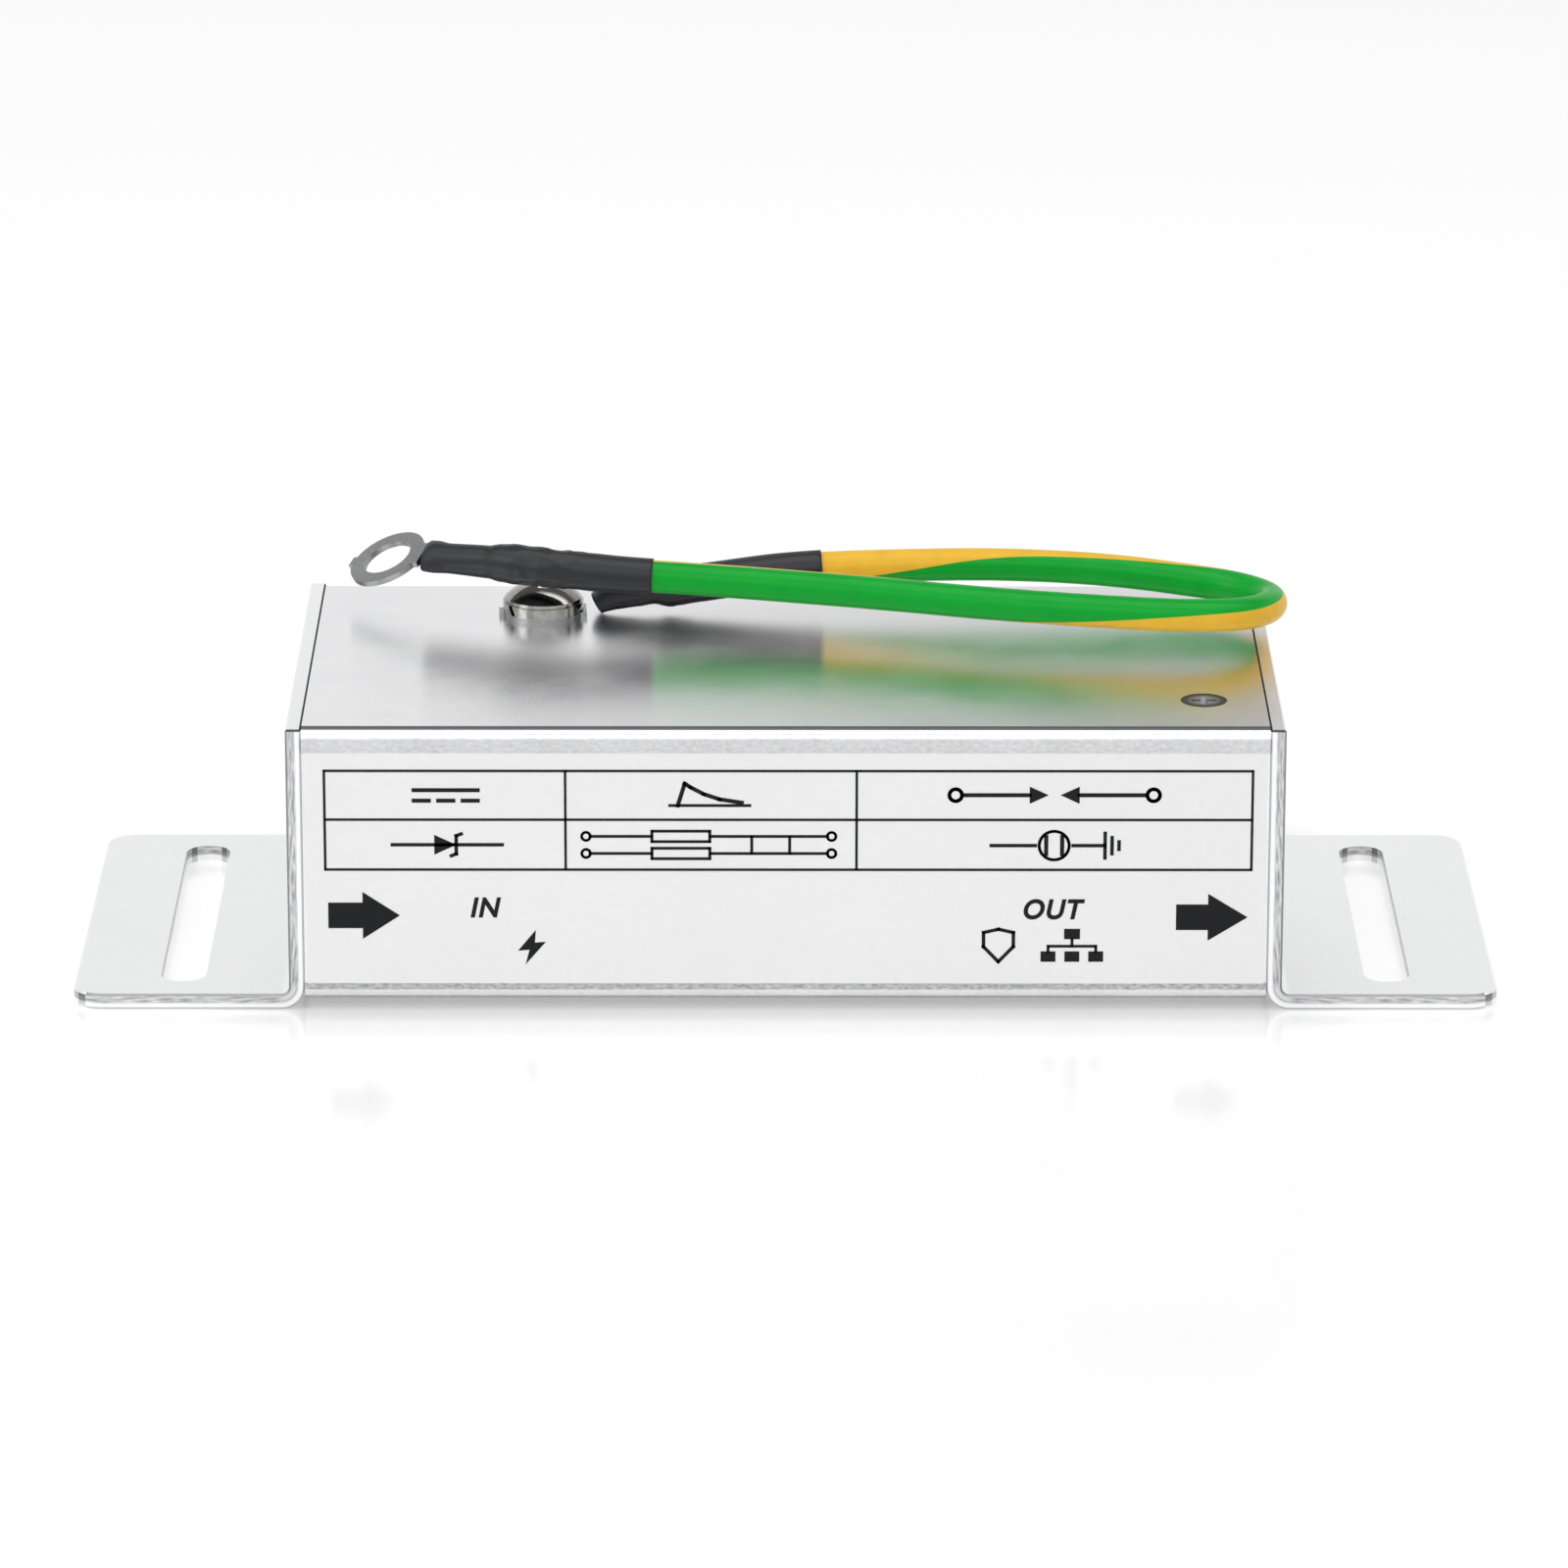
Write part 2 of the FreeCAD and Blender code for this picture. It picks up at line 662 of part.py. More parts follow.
def lock_washer():
    """A split spring washer between the screw head and the ring."""
    base = lid_top + ring_thickness
    washer = rod(washer_outer / 2, washer_thickness, (screw_x, screw_y, base), (0, 0, 1))
    washer = washer.cut(rod(washer_bore / 2, washer_thickness, (screw_x, screw_y, base), (0, 0, 1)))
    slit = Part.makeBox(washer_slit, washer_outer, washer_thickness * 4,
                        Vector(-washer_slit / 2, 0, -washer_thickness * 2))
    turn = Rotation(Vector(0, 0, 1), washer_slit_turn) * Rotation(Vector(0, 1, 0), washer_slit_lean)
    slit.Placement = Placement(Vector(screw_x, screw_y, base + washer_thickness / 2), turn)
    return washer.cut(slit)


def ground_screw():
    """The pan-head cross-recessed screw that clamps the fixed ring."""
    radius = ground_screw_head / 2
    height = ground_screw_head_height
    rim = Vector(radius, 0, ground_screw_rim)
    crown = Vector(0, 0, height)
    foot = Vector(0, 0, -ground_screw_length)
    out = Vector(ground_screw_core / 2, 0, 0)
    cap_height = height - ground_screw_rim
    cap_radius = (radius ** 2 + cap_height ** 2) / (2 * cap_height)
    half_cap = math.asin(radius / cap_radius) / 2
    shoulder = Vector(cap_radius * math.sin(half_cap), 0, height - cap_radius * (1 - math.cos(half_cap)))
    edges = [
        Part.LineSegment(foot, foot + out).toShape(),
        Part.LineSegment(foot + out, out).toShape(),
        Part.LineSegment(out, Vector(radius, 0, 0)).toShape(),
        Part.LineSegment(Vector(radius, 0, 0), rim).toShape(),
        Part.Arc(rim, shoulder, crown).toShape(),
        Part.LineSegment(crown, foot).toShape(),
    ]
    screw = Part.Face(Part.Wire(edges)).revolve(Vector(0, 0, 0), Vector(0, 0, 1), 360)
    recess = cross_recess(ground_screw_head * recess_share, ground_screw_head * recess_slot_share,
                          height * pan_recess_share)
    recess.translate(crown)
    screw = screw.cut(recess)
    screw.translate(Vector(screw_x, screw_y, lid_top + ring_thickness + washer_thickness))
    return screw


def barrel_frame(angles):
    """Barrel start and direction in a terminal's own frame: ring flat at z = 0, barrel to +X."""
    neck_angle, barrel_angle = [math.radians(angle) for angle in angles]
    along = Vector(math.cos(barrel_angle), 0, math.sin(barrel_angle))
    up = Vector(-math.sin(barrel_angle), 0, math.cos(barrel_angle))
    neck = Vector(math.cos(neck_angle), 0, math.sin(neck_angle))
    start = Vector(neck_start, 0, 0) + neck * neck_length + up * (barrel_outer / 2)
    return start, along, up


def neck_section(angles, share, wall):
    """The oval section of the neck at a share of the way from ring to barrel, grown by a wall."""
    start, _, up = barrel_frame(angles)
    root = Vector(neck_start, 0, ring_thickness / 2)
    centre = root + (start - root) * share
    half_width = neck_width / 2 + (barrel_outer - neck_width) / 2 * share + wall
    half_height = ring_thickness / 2 + (barrel_outer - ring_thickness) / 2 * share + wall
    oval = Part.Ellipse(centre + Vector(0, half_width, 0), centre + up * half_height, centre)
    return Part.Wire(oval.toShape())


def ring_terminal(angles):
    """A ring terminal in its own frame: stamped ring, bent neck and rolled barrel."""
    start, along, _ = barrel_frame(angles)
    ring = rod(ring_outer / 2, ring_thickness, (0, 0, 0), (0, 0, 1))
    nib_length, nib_width = ring_nib
    nib = block(-ring_outer / 2 - nib_length, 0, -nib_width / 2, nib_width / 2, 0, ring_thickness)
    tongue = block(0, neck_start + tongue_overlap, -neck_width / 2, neck_width / 2, 0, ring_thickness)
    rim = Part.Circle(start + along * barrel_lip, along, barrel_outer / 2 - barrel_lip)
    barrel_end = Part.Wire(rim.toShape())
    neck = Part.makeLoft([neck_section(angles, 0, -neck_inset), barrel_end], True)
    barrel = Part.makeCylinder(barrel_outer / 2, barrel_length, start, along)
    outer = fuse([ring, nib, tongue, neck, barrel])
    bore = rod(ring_bore / 2, ring_thickness, (0, 0, 0), (0, 0, 1))
    hollow = Part.makeCylinder(barrel_bore / 2, barrel_length, start, along)
    return outer.cut(bore).cut(hollow)


def fixed_placement():
    """The fixed ring lies on the lid round the ground screw."""
    return Placement(Vector(screw_x, screw_y, lid_top), Rotation(Vector(0, 0, 1), fixed_yaw))


def wire_end(angles):
    """Where the insulation starts in a terminal's own frame."""
    start, along, _ = barrel_frame(angles)
    return start + along * (barrel_length + strip_gap)


def lead_route():
    """The lead's points: out of the fixed barrel, round the loop and back over the screw."""
    place = fixed_placement()
    _, along, _ = barrel_frame(fixed_angles)
    first = place.multVec(wire_end(fixed_angles))
    out = place.Rotation.multVec(along)
    middle = Vector(screw_x, screw_y, lid_top)
    return [first, first + out * lead_out] + [middle + Vector(*point) for point in lead_points]


def free_placement(route):
    """The free terminal sits on the end of the wire, rolled about it."""
    _, along, _ = barrel_frame(free_angles)
    towards_wire = (route[-2] - route[-1]).normalize()
    turn = Rotation(towards_wire, free_roll).multiply(Rotation(along, towards_wire))
    return Placement(route[-1] - turn.multVec(wire_end(free_angles)), turn)


def route_edges(points, report=False):
    """Straight runs joined by tangent arcs."""
    edges = []
    last = points[0]
    for index in range(1, len(points) - 1):
        corner = points[index]
        back = points[index - 1] - corner
        ahead = points[index + 1] - corner
        shorter = min(back.Length, ahead.Length)
        back = back.normalize()
        ahead = ahead.normalize()
        half_turn = (math.pi - back.getAngle(ahead)) / 2
        cut = bend_share * shorter
        radius = cut / math.tan(half_turn)
        inward = (back + ahead).normalize()
        start = corner + back * cut
        end = corner + ahead * cut
        middle = corner + inward * (radius / math.cos(half_turn) - radius)
        edges.append(Part.LineSegment(last, start).toShape())
        edges.append(Part.Arc(start, middle, end).toShape())
        last = end
        if report:
            print("lead point %d: run %.1f, radius %.1f" % (index, shorter, radius))
    edges.append(Part.LineSegment(last, points[-1]).toShape())
    return edges


def tube_along(edges, radius):
    """A round solid along tangent edges."""
    first = edges[0]
    start = first.valueAt(first.FirstParameter)
    heading = first.tangentAt(first.FirstParameter)
    profile = Part.Wire(Part.Circle(start, heading, radius).toShape())
    return Part.Wire(edges).makePipeShell([profile], True, False)


def first_part(edges, length):
    """The edges up to a length along them."""
    kept = []
    left = length
    for edge in edges:
        if edge.Length > left:
            end = edge.getParameterByLength(left)
            kept.append(Part.Edge(edge.Curve, edge.FirstParameter, end))
            return kept
        kept.append(edge)
        left -= edge.Length
    return kept


def sleeve(place, angles, edges, sleeve_start, sleeve_length):
    """Heat-shrink over neck, barrel and wire: a flattened end, then round to its far end."""
    start, along, _ = barrel_frame(angles)
    share = (sleeve_start - neck_start) / neck_length
    over_barrel = barrel_outer / 2 + sleeve_wall
    over_wire = wire_diameter / 2 + sleeve_wall
    round_end = Part.Wire(Part.Circle(start, along, over_barrel).toShape())
    bare_end = Part.Wire(Part.Circle(start, along, barrel_outer / 2).toShape())
    cone = Part.makeLoft([neck_section(angles, share, sleeve_wall), round_end], True)
    neck = Part.makeLoft([neck_section(angles, 0, 0), bare_end], True)
    barrel = Part.makeCylinder(over_barrel, barrel_length, start, along)
    waist = Part.makeCone(over_barrel, over_wire, strip_gap, start + along * barrel_length, along)
    bore = Part.makeCylinder(barrel_outer / 2 + sleeve_play, barrel_length + strip_gap, start, along)
    for shape in (cone, neck, barrel, waist, bore):
        shape.Placement = place.multiply(shape.Placement)
    rest = sleeve_length - (neck_length - sleeve_start + neck_start) - barrel_length - strip_gap
    on_wire = tube_along(first_part(edges, rest), over_wire)
    wire_bore = tube_along(first_part(edges, rest + sleeve_bore_overrun), wire_diameter / 2 + sleeve_play)
    outer = fuse([cone, barrel, waist, on_wire])
    return outer.cut(bore).cut(neck).cut(wire_bore)


def conductor_end(place, angles):
    """Bared copper strands in a barrel."""
    start, along, _ = barrel_frame(angles)
    strands = Part.makeCylinder(conductor_diameter / 2, barrel_length + strip_gap, start, along)
    strands.Placement = place.multiply(strands.Placement)
    return strands


def earth_lead():
    """The whole lead, from the ring under the screw to the free ring."""
    route = lead_route()
    edges = route_edges(route, report=True)
    wire = tube_along(edges, wire_diameter / 2)
    length = sum(edge.Length for edge in edges)
    section = math.pi * wire_diameter ** 2 / 4
    print("lead length %.2f, volume %.2f" % (length, wire.Volume))
    print("section times length %.2f" % (section * length))
    for point in route:
        print("route (%.2f, %.2f, %.2f)" % tuple(point))
    fixed = fixed_placement()
    free = free_placement(route)
    print("free ring centre", free.Base, "normal", free.Rotation.multVec(Vector(0, 0, 1)))
    save("ground_wire", wire)
    ends = (("fixed", fixed, fixed_angles, edges, fixed_sleeve_cut),
            ("free", free, free_angles, route_edges(route[::-1]), free_sleeve_cut))
    for name, place, angles, way, cut in ends:
        terminal = ring_terminal(angles)
        terminal.Placement = place
        save(name + "_ring_terminal", terminal)
        save(name + "_sleeve", sleeve(place, angles, way, *cut))
    save("conductor_ends", conductor_end(fixed, fixed_angles), conductor_end(free, free_angles))


def main():
    os.makedirs("parts", exist_ok=True)
    save("housing_tube", housing_tube())
    save("front_label", front_label())
    out_pieces = {"end_plate": [end_plate()], "end_screws": end_screws(), "jack_shield": [jack_shield()],
                  "jack_insert": [jack_insert()], "jack_contacts": jack_contacts()}
    for name, solids in out_pieces.items():
        save(name + "_out", *solids)
        save(name + "_in", *[mirrored(solid) for solid in solids])
    save("circuit_board", circuit_board())
    for index in range(tube_count):
        save("gas_tube_%d" % (index + 1), gas_tube(index))
        save("clamp_diode_%d" % (index + 1), clamp_diode(index))
    for index in range(resistor_count):
        save("series_resistor_%d" % (index + 1), series_resistor(index))
    save("earth_post", earth_post())
    save("board_screw", board_screw())
    save("post_screw", post_screw())
    save("clinch_nut", clinch_nut())
    save("lock_washer", lock_washer())
    save("ground_screw", ground_screw())
    earth_lead()


main()
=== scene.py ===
import math

import bmesh
import bpy
from mathutils import Matrix, Quaternion, Vector, noise


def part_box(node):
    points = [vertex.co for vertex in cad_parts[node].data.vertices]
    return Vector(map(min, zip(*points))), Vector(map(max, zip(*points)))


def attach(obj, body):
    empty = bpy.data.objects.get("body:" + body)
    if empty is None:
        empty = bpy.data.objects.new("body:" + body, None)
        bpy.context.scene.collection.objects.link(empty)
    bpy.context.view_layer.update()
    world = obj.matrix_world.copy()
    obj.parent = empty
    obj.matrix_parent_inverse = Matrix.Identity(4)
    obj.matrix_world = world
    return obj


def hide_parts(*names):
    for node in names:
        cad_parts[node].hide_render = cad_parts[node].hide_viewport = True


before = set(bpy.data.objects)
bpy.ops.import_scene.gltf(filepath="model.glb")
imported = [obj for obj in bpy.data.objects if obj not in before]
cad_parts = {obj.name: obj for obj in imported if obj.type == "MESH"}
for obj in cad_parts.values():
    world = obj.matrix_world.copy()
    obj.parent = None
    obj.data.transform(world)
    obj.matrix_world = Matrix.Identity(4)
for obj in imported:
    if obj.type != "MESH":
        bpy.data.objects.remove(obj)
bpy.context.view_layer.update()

# Housing tube: the body of the box, one aluminium extrusion with screw ports and board grooves inside.
# It is fine blasted and clear anodised, so it is pale and satiny and blurs what lies on it.

BLAST_GRAIN = 0.00022       # real grit marks are about 0.1 mm, drawn coarser so that they show
PATCH_STEP = 30             # a finish also varies softly over patches this many grains wide


def linear(hex_colour):
    """The linear RGBA of an sRGB hex colour."""
    channels = [int(hex_colour[i:i + 2], 16) / 255 for i in (1, 3, 5)]
    return (*[c / 12.92 if c <= 0.04045 else ((c + 0.055) / 1.055) ** 2.4 for c in channels], 1.0)


def add_node(material, kind, inputs=(), **settings):
    """One shader node with its settings, values and links."""
    node = material.node_tree.nodes.new(kind)
    for name, value in settings.items():
        setattr(node, name, value)
    for name, value in dict(inputs).items():
        if isinstance(value, bpy.types.NodeSocket):
            material.node_tree.links.new(value, node.inputs[name])
        else:
            node.inputs[name].default_value = value
    return node


def new_finish(name, **values):
    """A material with one Principled shader, its constants set on the shader's own sockets."""
    material = bpy.data.materials.new(name)
    material.use_nodes = True
    shader = material.node_tree.nodes["Principled BSDF"]
    for key, value in values.items():
        shader.inputs[key.replace("_", " ").title().replace("Ior", "IOR")].default_value = value
    return material


def add_grain(material, size, dark, light, rough, height, stretch=(1, 1, 1)):
    """Noise of one grain size in metres that varies a finish's colour, roughness and height."""
    shader = material.node_tree.nodes["Principled BSDF"]
    links = material.node_tree.links
    place = add_node(material, "ShaderNodeTexCoord").outputs["Object"]
    place = add_node(material, "ShaderNodeMapping", {"Vector": place, "Scale": stretch}).outputs[0]
    fine = add_node(material, "ShaderNodeTexNoise", {"Vector": place, "Scale": 1 / size, "Detail": 3.0})
    broad = add_node(material, "ShaderNodeTexNoise", {
        "Vector": place, "Scale": 1 / (size * PATCH_STEP), "Detail": 2.0})
    both = add_node(material, "ShaderNodeMath", {0: fine.outputs["Fac"], 1: broad.outputs["Fac"]})
    # Nearly all sums of the two noises lie in this span
    spread = {"Value": both.outputs[0], "From Min": 0.7, "From Max": 1.3}
    tone = add_node(material, "ShaderNodeMapRange", spread)
    colour = add_node(material, "ShaderNodeMix", {"Factor": tone.outputs[0]}, data_type="RGBA")
    colour.inputs[6].default_value = linear(dark)
    colour.inputs[7].default_value = linear(light)
    links.new(colour.outputs[2], shader.inputs["Base Color"])
    gloss = add_node(material, "ShaderNodeMapRange", {**spread, "To Min": rough[0], "To Max": rough[1]})
    links.new(gloss.outputs[0], shader.inputs["Roughness"])
    bump = add_node(material, "ShaderNodeBump", {
        "Height": fine.outputs["Fac"], "Strength": 1.0, "Distance": height})
    links.new(bump.outputs[0], shader.inputs["Normal"])


def lay_over(material, mask, colour, rough):
    """A second tone over a finish, where the mask is 1."""
    links = material.node_tree.links
    shader = material.node_tree.nodes["Principled BSDF"]
    under = shader.inputs["Base Color"].links[0].from_socket
    tone = add_node(material, "ShaderNodeMix", {
        "Factor": mask, 6: under, 7: linear(colour)}, data_type="RGBA")
    links.new(tone.outputs[2], shader.inputs["Base Color"])
    under = shader.inputs["Roughness"].links[0].from_socket
    gloss = add_node(material, "ShaderNodeMix", {"Factor": mask, 2: under, 3: rough})
    links.new(gloss.outputs[0], shader.inputs["Roughness"])


def dress(node, material):
    """Gives a CAD node its finish."""
    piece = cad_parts[node]
    piece.data.materials.clear()
    piece.data.materials.append(material)


# Blasting and anodising give the eye a pale even satin, in which the lid mirrors the lead as a soft blur
blasted_aluminium = new_finish("blasted_anodised_aluminium", metallic=1.0, anisotropic=0.55)
add_grain(blasted_aluminium, BLAST_GRAIN, "#E1E1E3", "#ECECED", (0.20, 0.25), 0.0000015)
# The die's fine lines run along the tube, so highlights are drawn out round it
die_lines = add_node(blasted_aluminium, "ShaderNodeTangent", direction_type="RADIAL", axis="X")
blasted_aluminium.node_tree.links.new(
    die_lines.outputs[0], blasted_aluminium.node_tree.nodes["Principled BSDF"].inputs["Tangent"])
# Grey is painted over the front wall's two bare margins, darkest at the foot: partly painted shade, as the
# line at the foot and a dimmed lamp highlight on the top rounding, and partly a mottle of the bare metal. The
# stops are shares of the tube's height with the strength of the grey there, and the mottle runs in smudges
# along it.
MOTTLE_LENGTH = 0.001 / 1.5
MOTTLE_HEIGHT = 0.001 / 3
MARGIN_SHADE_GREY = "#77787A"
tube_place = add_node(blasted_aluminium, "ShaderNodeTexCoord")
tube_height = add_node(blasted_aluminium, "ShaderNodeSeparateXYZ", {
    0: tube_place.outputs["Object"]}).outputs["Z"]
tube_low, tube_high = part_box("housing_tube")
from_foot = add_node(blasted_aluminium, "ShaderNodeMapRange", {
    "Value": tube_height, "From Min": tube_low.z, "From Max": tube_high.z})
margin_shade_ramp = add_node(blasted_aluminium, "ShaderNodeValToRGB", {0: from_foot.outputs[0]})
margin_shade_stops = ((0.0, 0.9), (0.009, 0.9), (0.013, 0.15), (0.040, 0.15), (0.045, 0.8), (0.066, 0.85),
                (0.07, 0.0), (0.91, 0.0), (0.916, 0.45), (0.932, 0.42), (0.95, 0.38))
while len(margin_shade_ramp.color_ramp.elements) < len(margin_shade_stops):
    margin_shade_ramp.color_ramp.elements.new(0.5)
for stop, (position, grey) in zip(margin_shade_ramp.color_ramp.elements, margin_shade_stops):
    stop.position = position
    stop.color = (grey, grey, grey, 1)
facing = add_node(blasted_aluminium, "ShaderNodeSeparateXYZ", {
    0: tube_place.outputs["Normal"]}).outputs["Y"]
forward = add_node(blasted_aluminium, "ShaderNodeMapRange", {
    "Value": facing, "From Min": -0.1, "From Max": -0.5})
mottle = add_node(blasted_aluminium, "ShaderNodeMapping", {
    "Vector": tube_place.outputs["Object"], "Scale": (1 / MOTTLE_LENGTH, 1 / MOTTLE_HEIGHT, 1 / MOTTLE_HEIGHT)})
mottle = add_node(blasted_aluminium, "ShaderNodeTexNoise", {
    "Vector": mottle.outputs[0], "Scale": 1.0, "Detail": 3.0})
mottle = add_node(blasted_aluminium, "ShaderNodeMapRange", {
    "Value": mottle.outputs["Fac"], "From Min": 0.32, "From Max": 0.68, "To Min": 0.45})
# The margins' painted shade and mottle, on the front-facing part only
margin_shade_and_mottle = add_node(blasted_aluminium, "ShaderNodeMath", {0: margin_shade_ramp.outputs[0], 1: forward.outputs[0]},
                 operation="MULTIPLY")
margin_shade_and_mottle = add_node(blasted_aluminium, "ShaderNodeMath", {0: margin_shade_and_mottle.outputs[0], 1: mottle.outputs[0]},
                 operation="MULTIPLY")
lay_over(blasted_aluminium, margin_shade_and_mottle.outputs[0], MARGIN_SHADE_GREY, 0.45)
# A dull dark line of painted shade runs where the lid rolls into the front, on the part that slopes this
# much; it stands in for the dark reflection of the rounded edge
LINE_SLOPE, LINE_SPAN = -0.3, 0.22
EDGE_SHADE_STRENGTH = 0.95
EDGE_SHADE_GREY = "#5C5D5F"
rolled = add_node(blasted_aluminium, "ShaderNodeMath", {0: facing, 1: LINE_SLOPE, 2: LINE_SPAN},
                  operation="COMPARE")
near_lid = add_node(blasted_aluminium, "ShaderNodeMath", {0: from_foot.outputs[0], 1: 0.9},
                    operation="GREATER_THAN")
rolled = add_node(blasted_aluminium, "ShaderNodeMath", {0: rolled.outputs[0], 1: near_lid.outputs[0]},
                  operation="MULTIPLY")
rolled = add_node(blasted_aluminium, "ShaderNodeMath", {0: rolled.outputs[0], 1: EDGE_SHADE_STRENGTH},
                  operation="MULTIPLY")
lay_over(blasted_aluminium, rolled.outputs[0], EDGE_SHADE_GREY, 0.4)
dress("housing_tube", blasted_aluminium)

# Surge board: a fibreglass board in the tube's grooves, with four ceramic gas tubes, four clamping
# diodes and eight chip resistors between the two sockets, and a brass post that earths it to the lid.

# Solder mask over glass cloth gives the board a deep green gloss; the cloth's 0.5 mm weave is drawn
# coarser, at 1.5 mm
board_laminate = new_finish("green_solder_mask", specular_ior_level=0.5)
add_grain(board_laminate, 0.0015, "#0F4A26", "#15592F", (0.28, 0.36), 0.000006)
dress("circuit_board", board_laminate)

# The gas tubes' glaze is a cream white under a clear wet shine, clouded over about 1 mm
glazed_ceramic = new_finish("glazed_alumina_ceramic", coat_weight=0.4, coat_roughness=0.1)
add_grain(glazed_ceramic, 0.001, "#E2E0D8", "#EFEDE6", (0.25, 0.35), 0.000003)
# Moulded epoxy is near-black and dull; the mould's 0.1 mm texture is drawn coarser, at 0.4 mm
diode_epoxy = new_finish("moulded_diode_epoxy")
add_grain(diode_epoxy, 0.0004, "#161617", "#232325", (0.5, 0.6), 0.000006)
# The resistors' printed glass is a blue-black with a soft gloss and 0.6 mm flow marks
resistor_glaze = new_finish("chip_resistor_glaze")
add_grain(resistor_glaze, 0.0006, "#14151A", "#1E2027", (0.3, 0.4), 0.000003)
for index in range(4):
    dress(f"gas_tube_{index + 1}", glazed_ceramic)
    dress(f"clamp_diode_{index + 1}", diode_epoxy)
for index in range(8):
    dress(f"series_resistor_{index + 1}", resistor_glaze)

# Turning gives the post a warm yellow shine, broken by fine rings about 0.08 mm apart
turned_brass = new_finish("turned_brass", metallic=1.0)
add_grain(turned_brass, 0.0005, "#C9A75A", "#D9BC74", (0.22, 0.34), 0.000003, stretch=(1, 1, 6))
dress("earth_post", turned_brass)

# Network sockets: one at each end of the board, a tin-plated steel shield folded round a moulded
# black block, with eight gold-flashed spring contacts. They push into the end plates.

# Tin plate is a bright, slightly warm grey with the strip's rolling lines about 0.15 mm apart
tinned_steel = new_finish("tin_plated_steel", metallic=1.0)
add_grain(tinned_steel, 0.0006, "#C4C4C2", "#D6D6D4", (0.24, 0.34), 0.000002, stretch=(1, 1, 4))
# Glass-filled nylon leaves the mould a satin black with a bloom of about 0.3 mm
socket_plastic = new_finish("moulded_socket_plastic")
add_grain(socket_plastic, 0.0003, "#131315", "#1C1C1F", (0.42, 0.52), 0.000005)
# Gold flash gives the springs a bright yellow mirror that 0.5 mm waves hardly break
gold_flash = new_finish("gold_flashed_spring", metallic=1.0)
add_grain(gold_flash, 0.0005, "#E3B04C", "#F2C766", (0.14, 0.22), 0.000001)
for end in ("in", "out"):
    dress(f"jack_shield_{end}", tinned_steel)
    dress(f"jack_insert_{end}", socket_plastic)
    dress(f"jack_contacts_{end}", gold_flash)

# End plates: aluminium sheet, sheared, bent once into a wall and an ear with a long slot, and anodised.
# Each is held to the tube's ports by four zinc-plated countersunk screws.

# Anodised sheet is paler and flatter than the blasted tube; its 0.1 mm mill grain is drawn at 0.3 mm
sheet_aluminium = new_finish("sheared_anodised_sheet", metallic=1.0)
add_grain(sheet_aluminium, 0.0003, "#EAEBEB", "#F3F3F4", (0.28, 0.38), 0.000002)
# The shear leaves a torn grey band under the sheet's outer face and a bright burnished one under that. The
# deburred corners are dull and carry a painted dark line of shade. The place across the sheet is the distance
# from the middle of its bend.
SHEET = 0.0016
BEND = 0.0008
TORN_BAND = 0.00095
STREAK_WIDTH, STREAK_LENGTH = 0.001 / 4.5, 0.002
WALL_FACE = tube_high.x + SHEET
EAR_START = WALL_FACE + 0.0015
TOP_CORNER = tube_high.z - 0.0015
HALF_TURNED, CORNER_SPAN = math.sqrt(0.5), 0.12
sheet_place = add_node(sheet_aluminium, "ShaderNodeTexCoord")
beside = add_node(sheet_aluminium, "ShaderNodeVectorMath", {0: sheet_place.outputs["Object"]},
                  operation="ABSOLUTE")
from_bend = add_node(sheet_aluminium, "ShaderNodeVectorMath", {
    0: beside.outputs[0], 1: (WALL_FACE + BEND, 0, SHEET + BEND)}, operation="SUBTRACT")
from_bend = add_node(sheet_aluminium, "ShaderNodeVectorMath", {0: from_bend.outputs[0], 1: (1, 0, 1)},
                     operation="MULTIPLY")
from_bend = add_node(sheet_aluminium, "ShaderNodeVectorMath", {0: from_bend.outputs[0], 1: (0, 0, 0)},
                     operation="MINIMUM")
across = add_node(sheet_aluminium, "ShaderNodeVectorMath", {0: from_bend.outputs[0]}, operation="LENGTH")
across = add_node(sheet_aluminium, "ShaderNodeMath", {0: across.outputs["Value"], 1: BEND},
                  operation="SUBTRACT")
split = add_node(sheet_aluminium, "ShaderNodeSeparateXYZ", {0: beside.outputs[0]})
run = add_node(sheet_aluminium, "ShaderNodeMath", {0: split.outputs["X"], 1: split.outputs["Z"]},
               operation="ADD")
streak_place = add_node(sheet_aluminium, "ShaderNodeCombineXYZ", {
    "X": across.outputs[0], "Y": run.outputs[0]})
streak_place = add_node(sheet_aluminium, "ShaderNodeMapping", {
    "Vector": streak_place.outputs[0], "Scale": (1 / STREAK_WIDTH, 1 / STREAK_LENGTH, 1)})
streaks = add_node(sheet_aluminium, "ShaderNodeTexNoise", {
    "Vector": streak_place.outputs[0], "Scale": 1.0, "Detail": 4.0})
streaks = add_node(sheet_aluminium, "ShaderNodeMapRange", {
    "Value": streaks.outputs["Fac"], "From Min": 0.35, "From Max": 0.65, "To Min": 0.3})
torn = add_node(sheet_aluminium, "ShaderNodeMapRange", {
    "Value": across.outputs[0], "From Min": TORN_BAND + 0.0001, "From Max": TORN_BAND - 0.0001})
facing = add_node(sheet_aluminium, "ShaderNodeVectorMath", {0: sheet_place.outputs["Normal"]},
                  operation="ABSOLUTE")
facing = add_node(sheet_aluminium, "ShaderNodeSeparateXYZ", {0: facing.outputs[0]})
profile = add_node(sheet_aluminium, "ShaderNodeMath", {0: facing.outputs["Y"], 1: 0.9},
                   operation="GREATER_THAN")
on_ear = add_node(sheet_aluminium, "ShaderNodeMath", {0: split.outputs["X"], 1: EAR_START},
                  operation="GREATER_THAN")
upright = add_node(sheet_aluminium, "ShaderNodeMath", {0: facing.outputs["Z"], 1: 0.3},
                   operation="LESS_THAN")
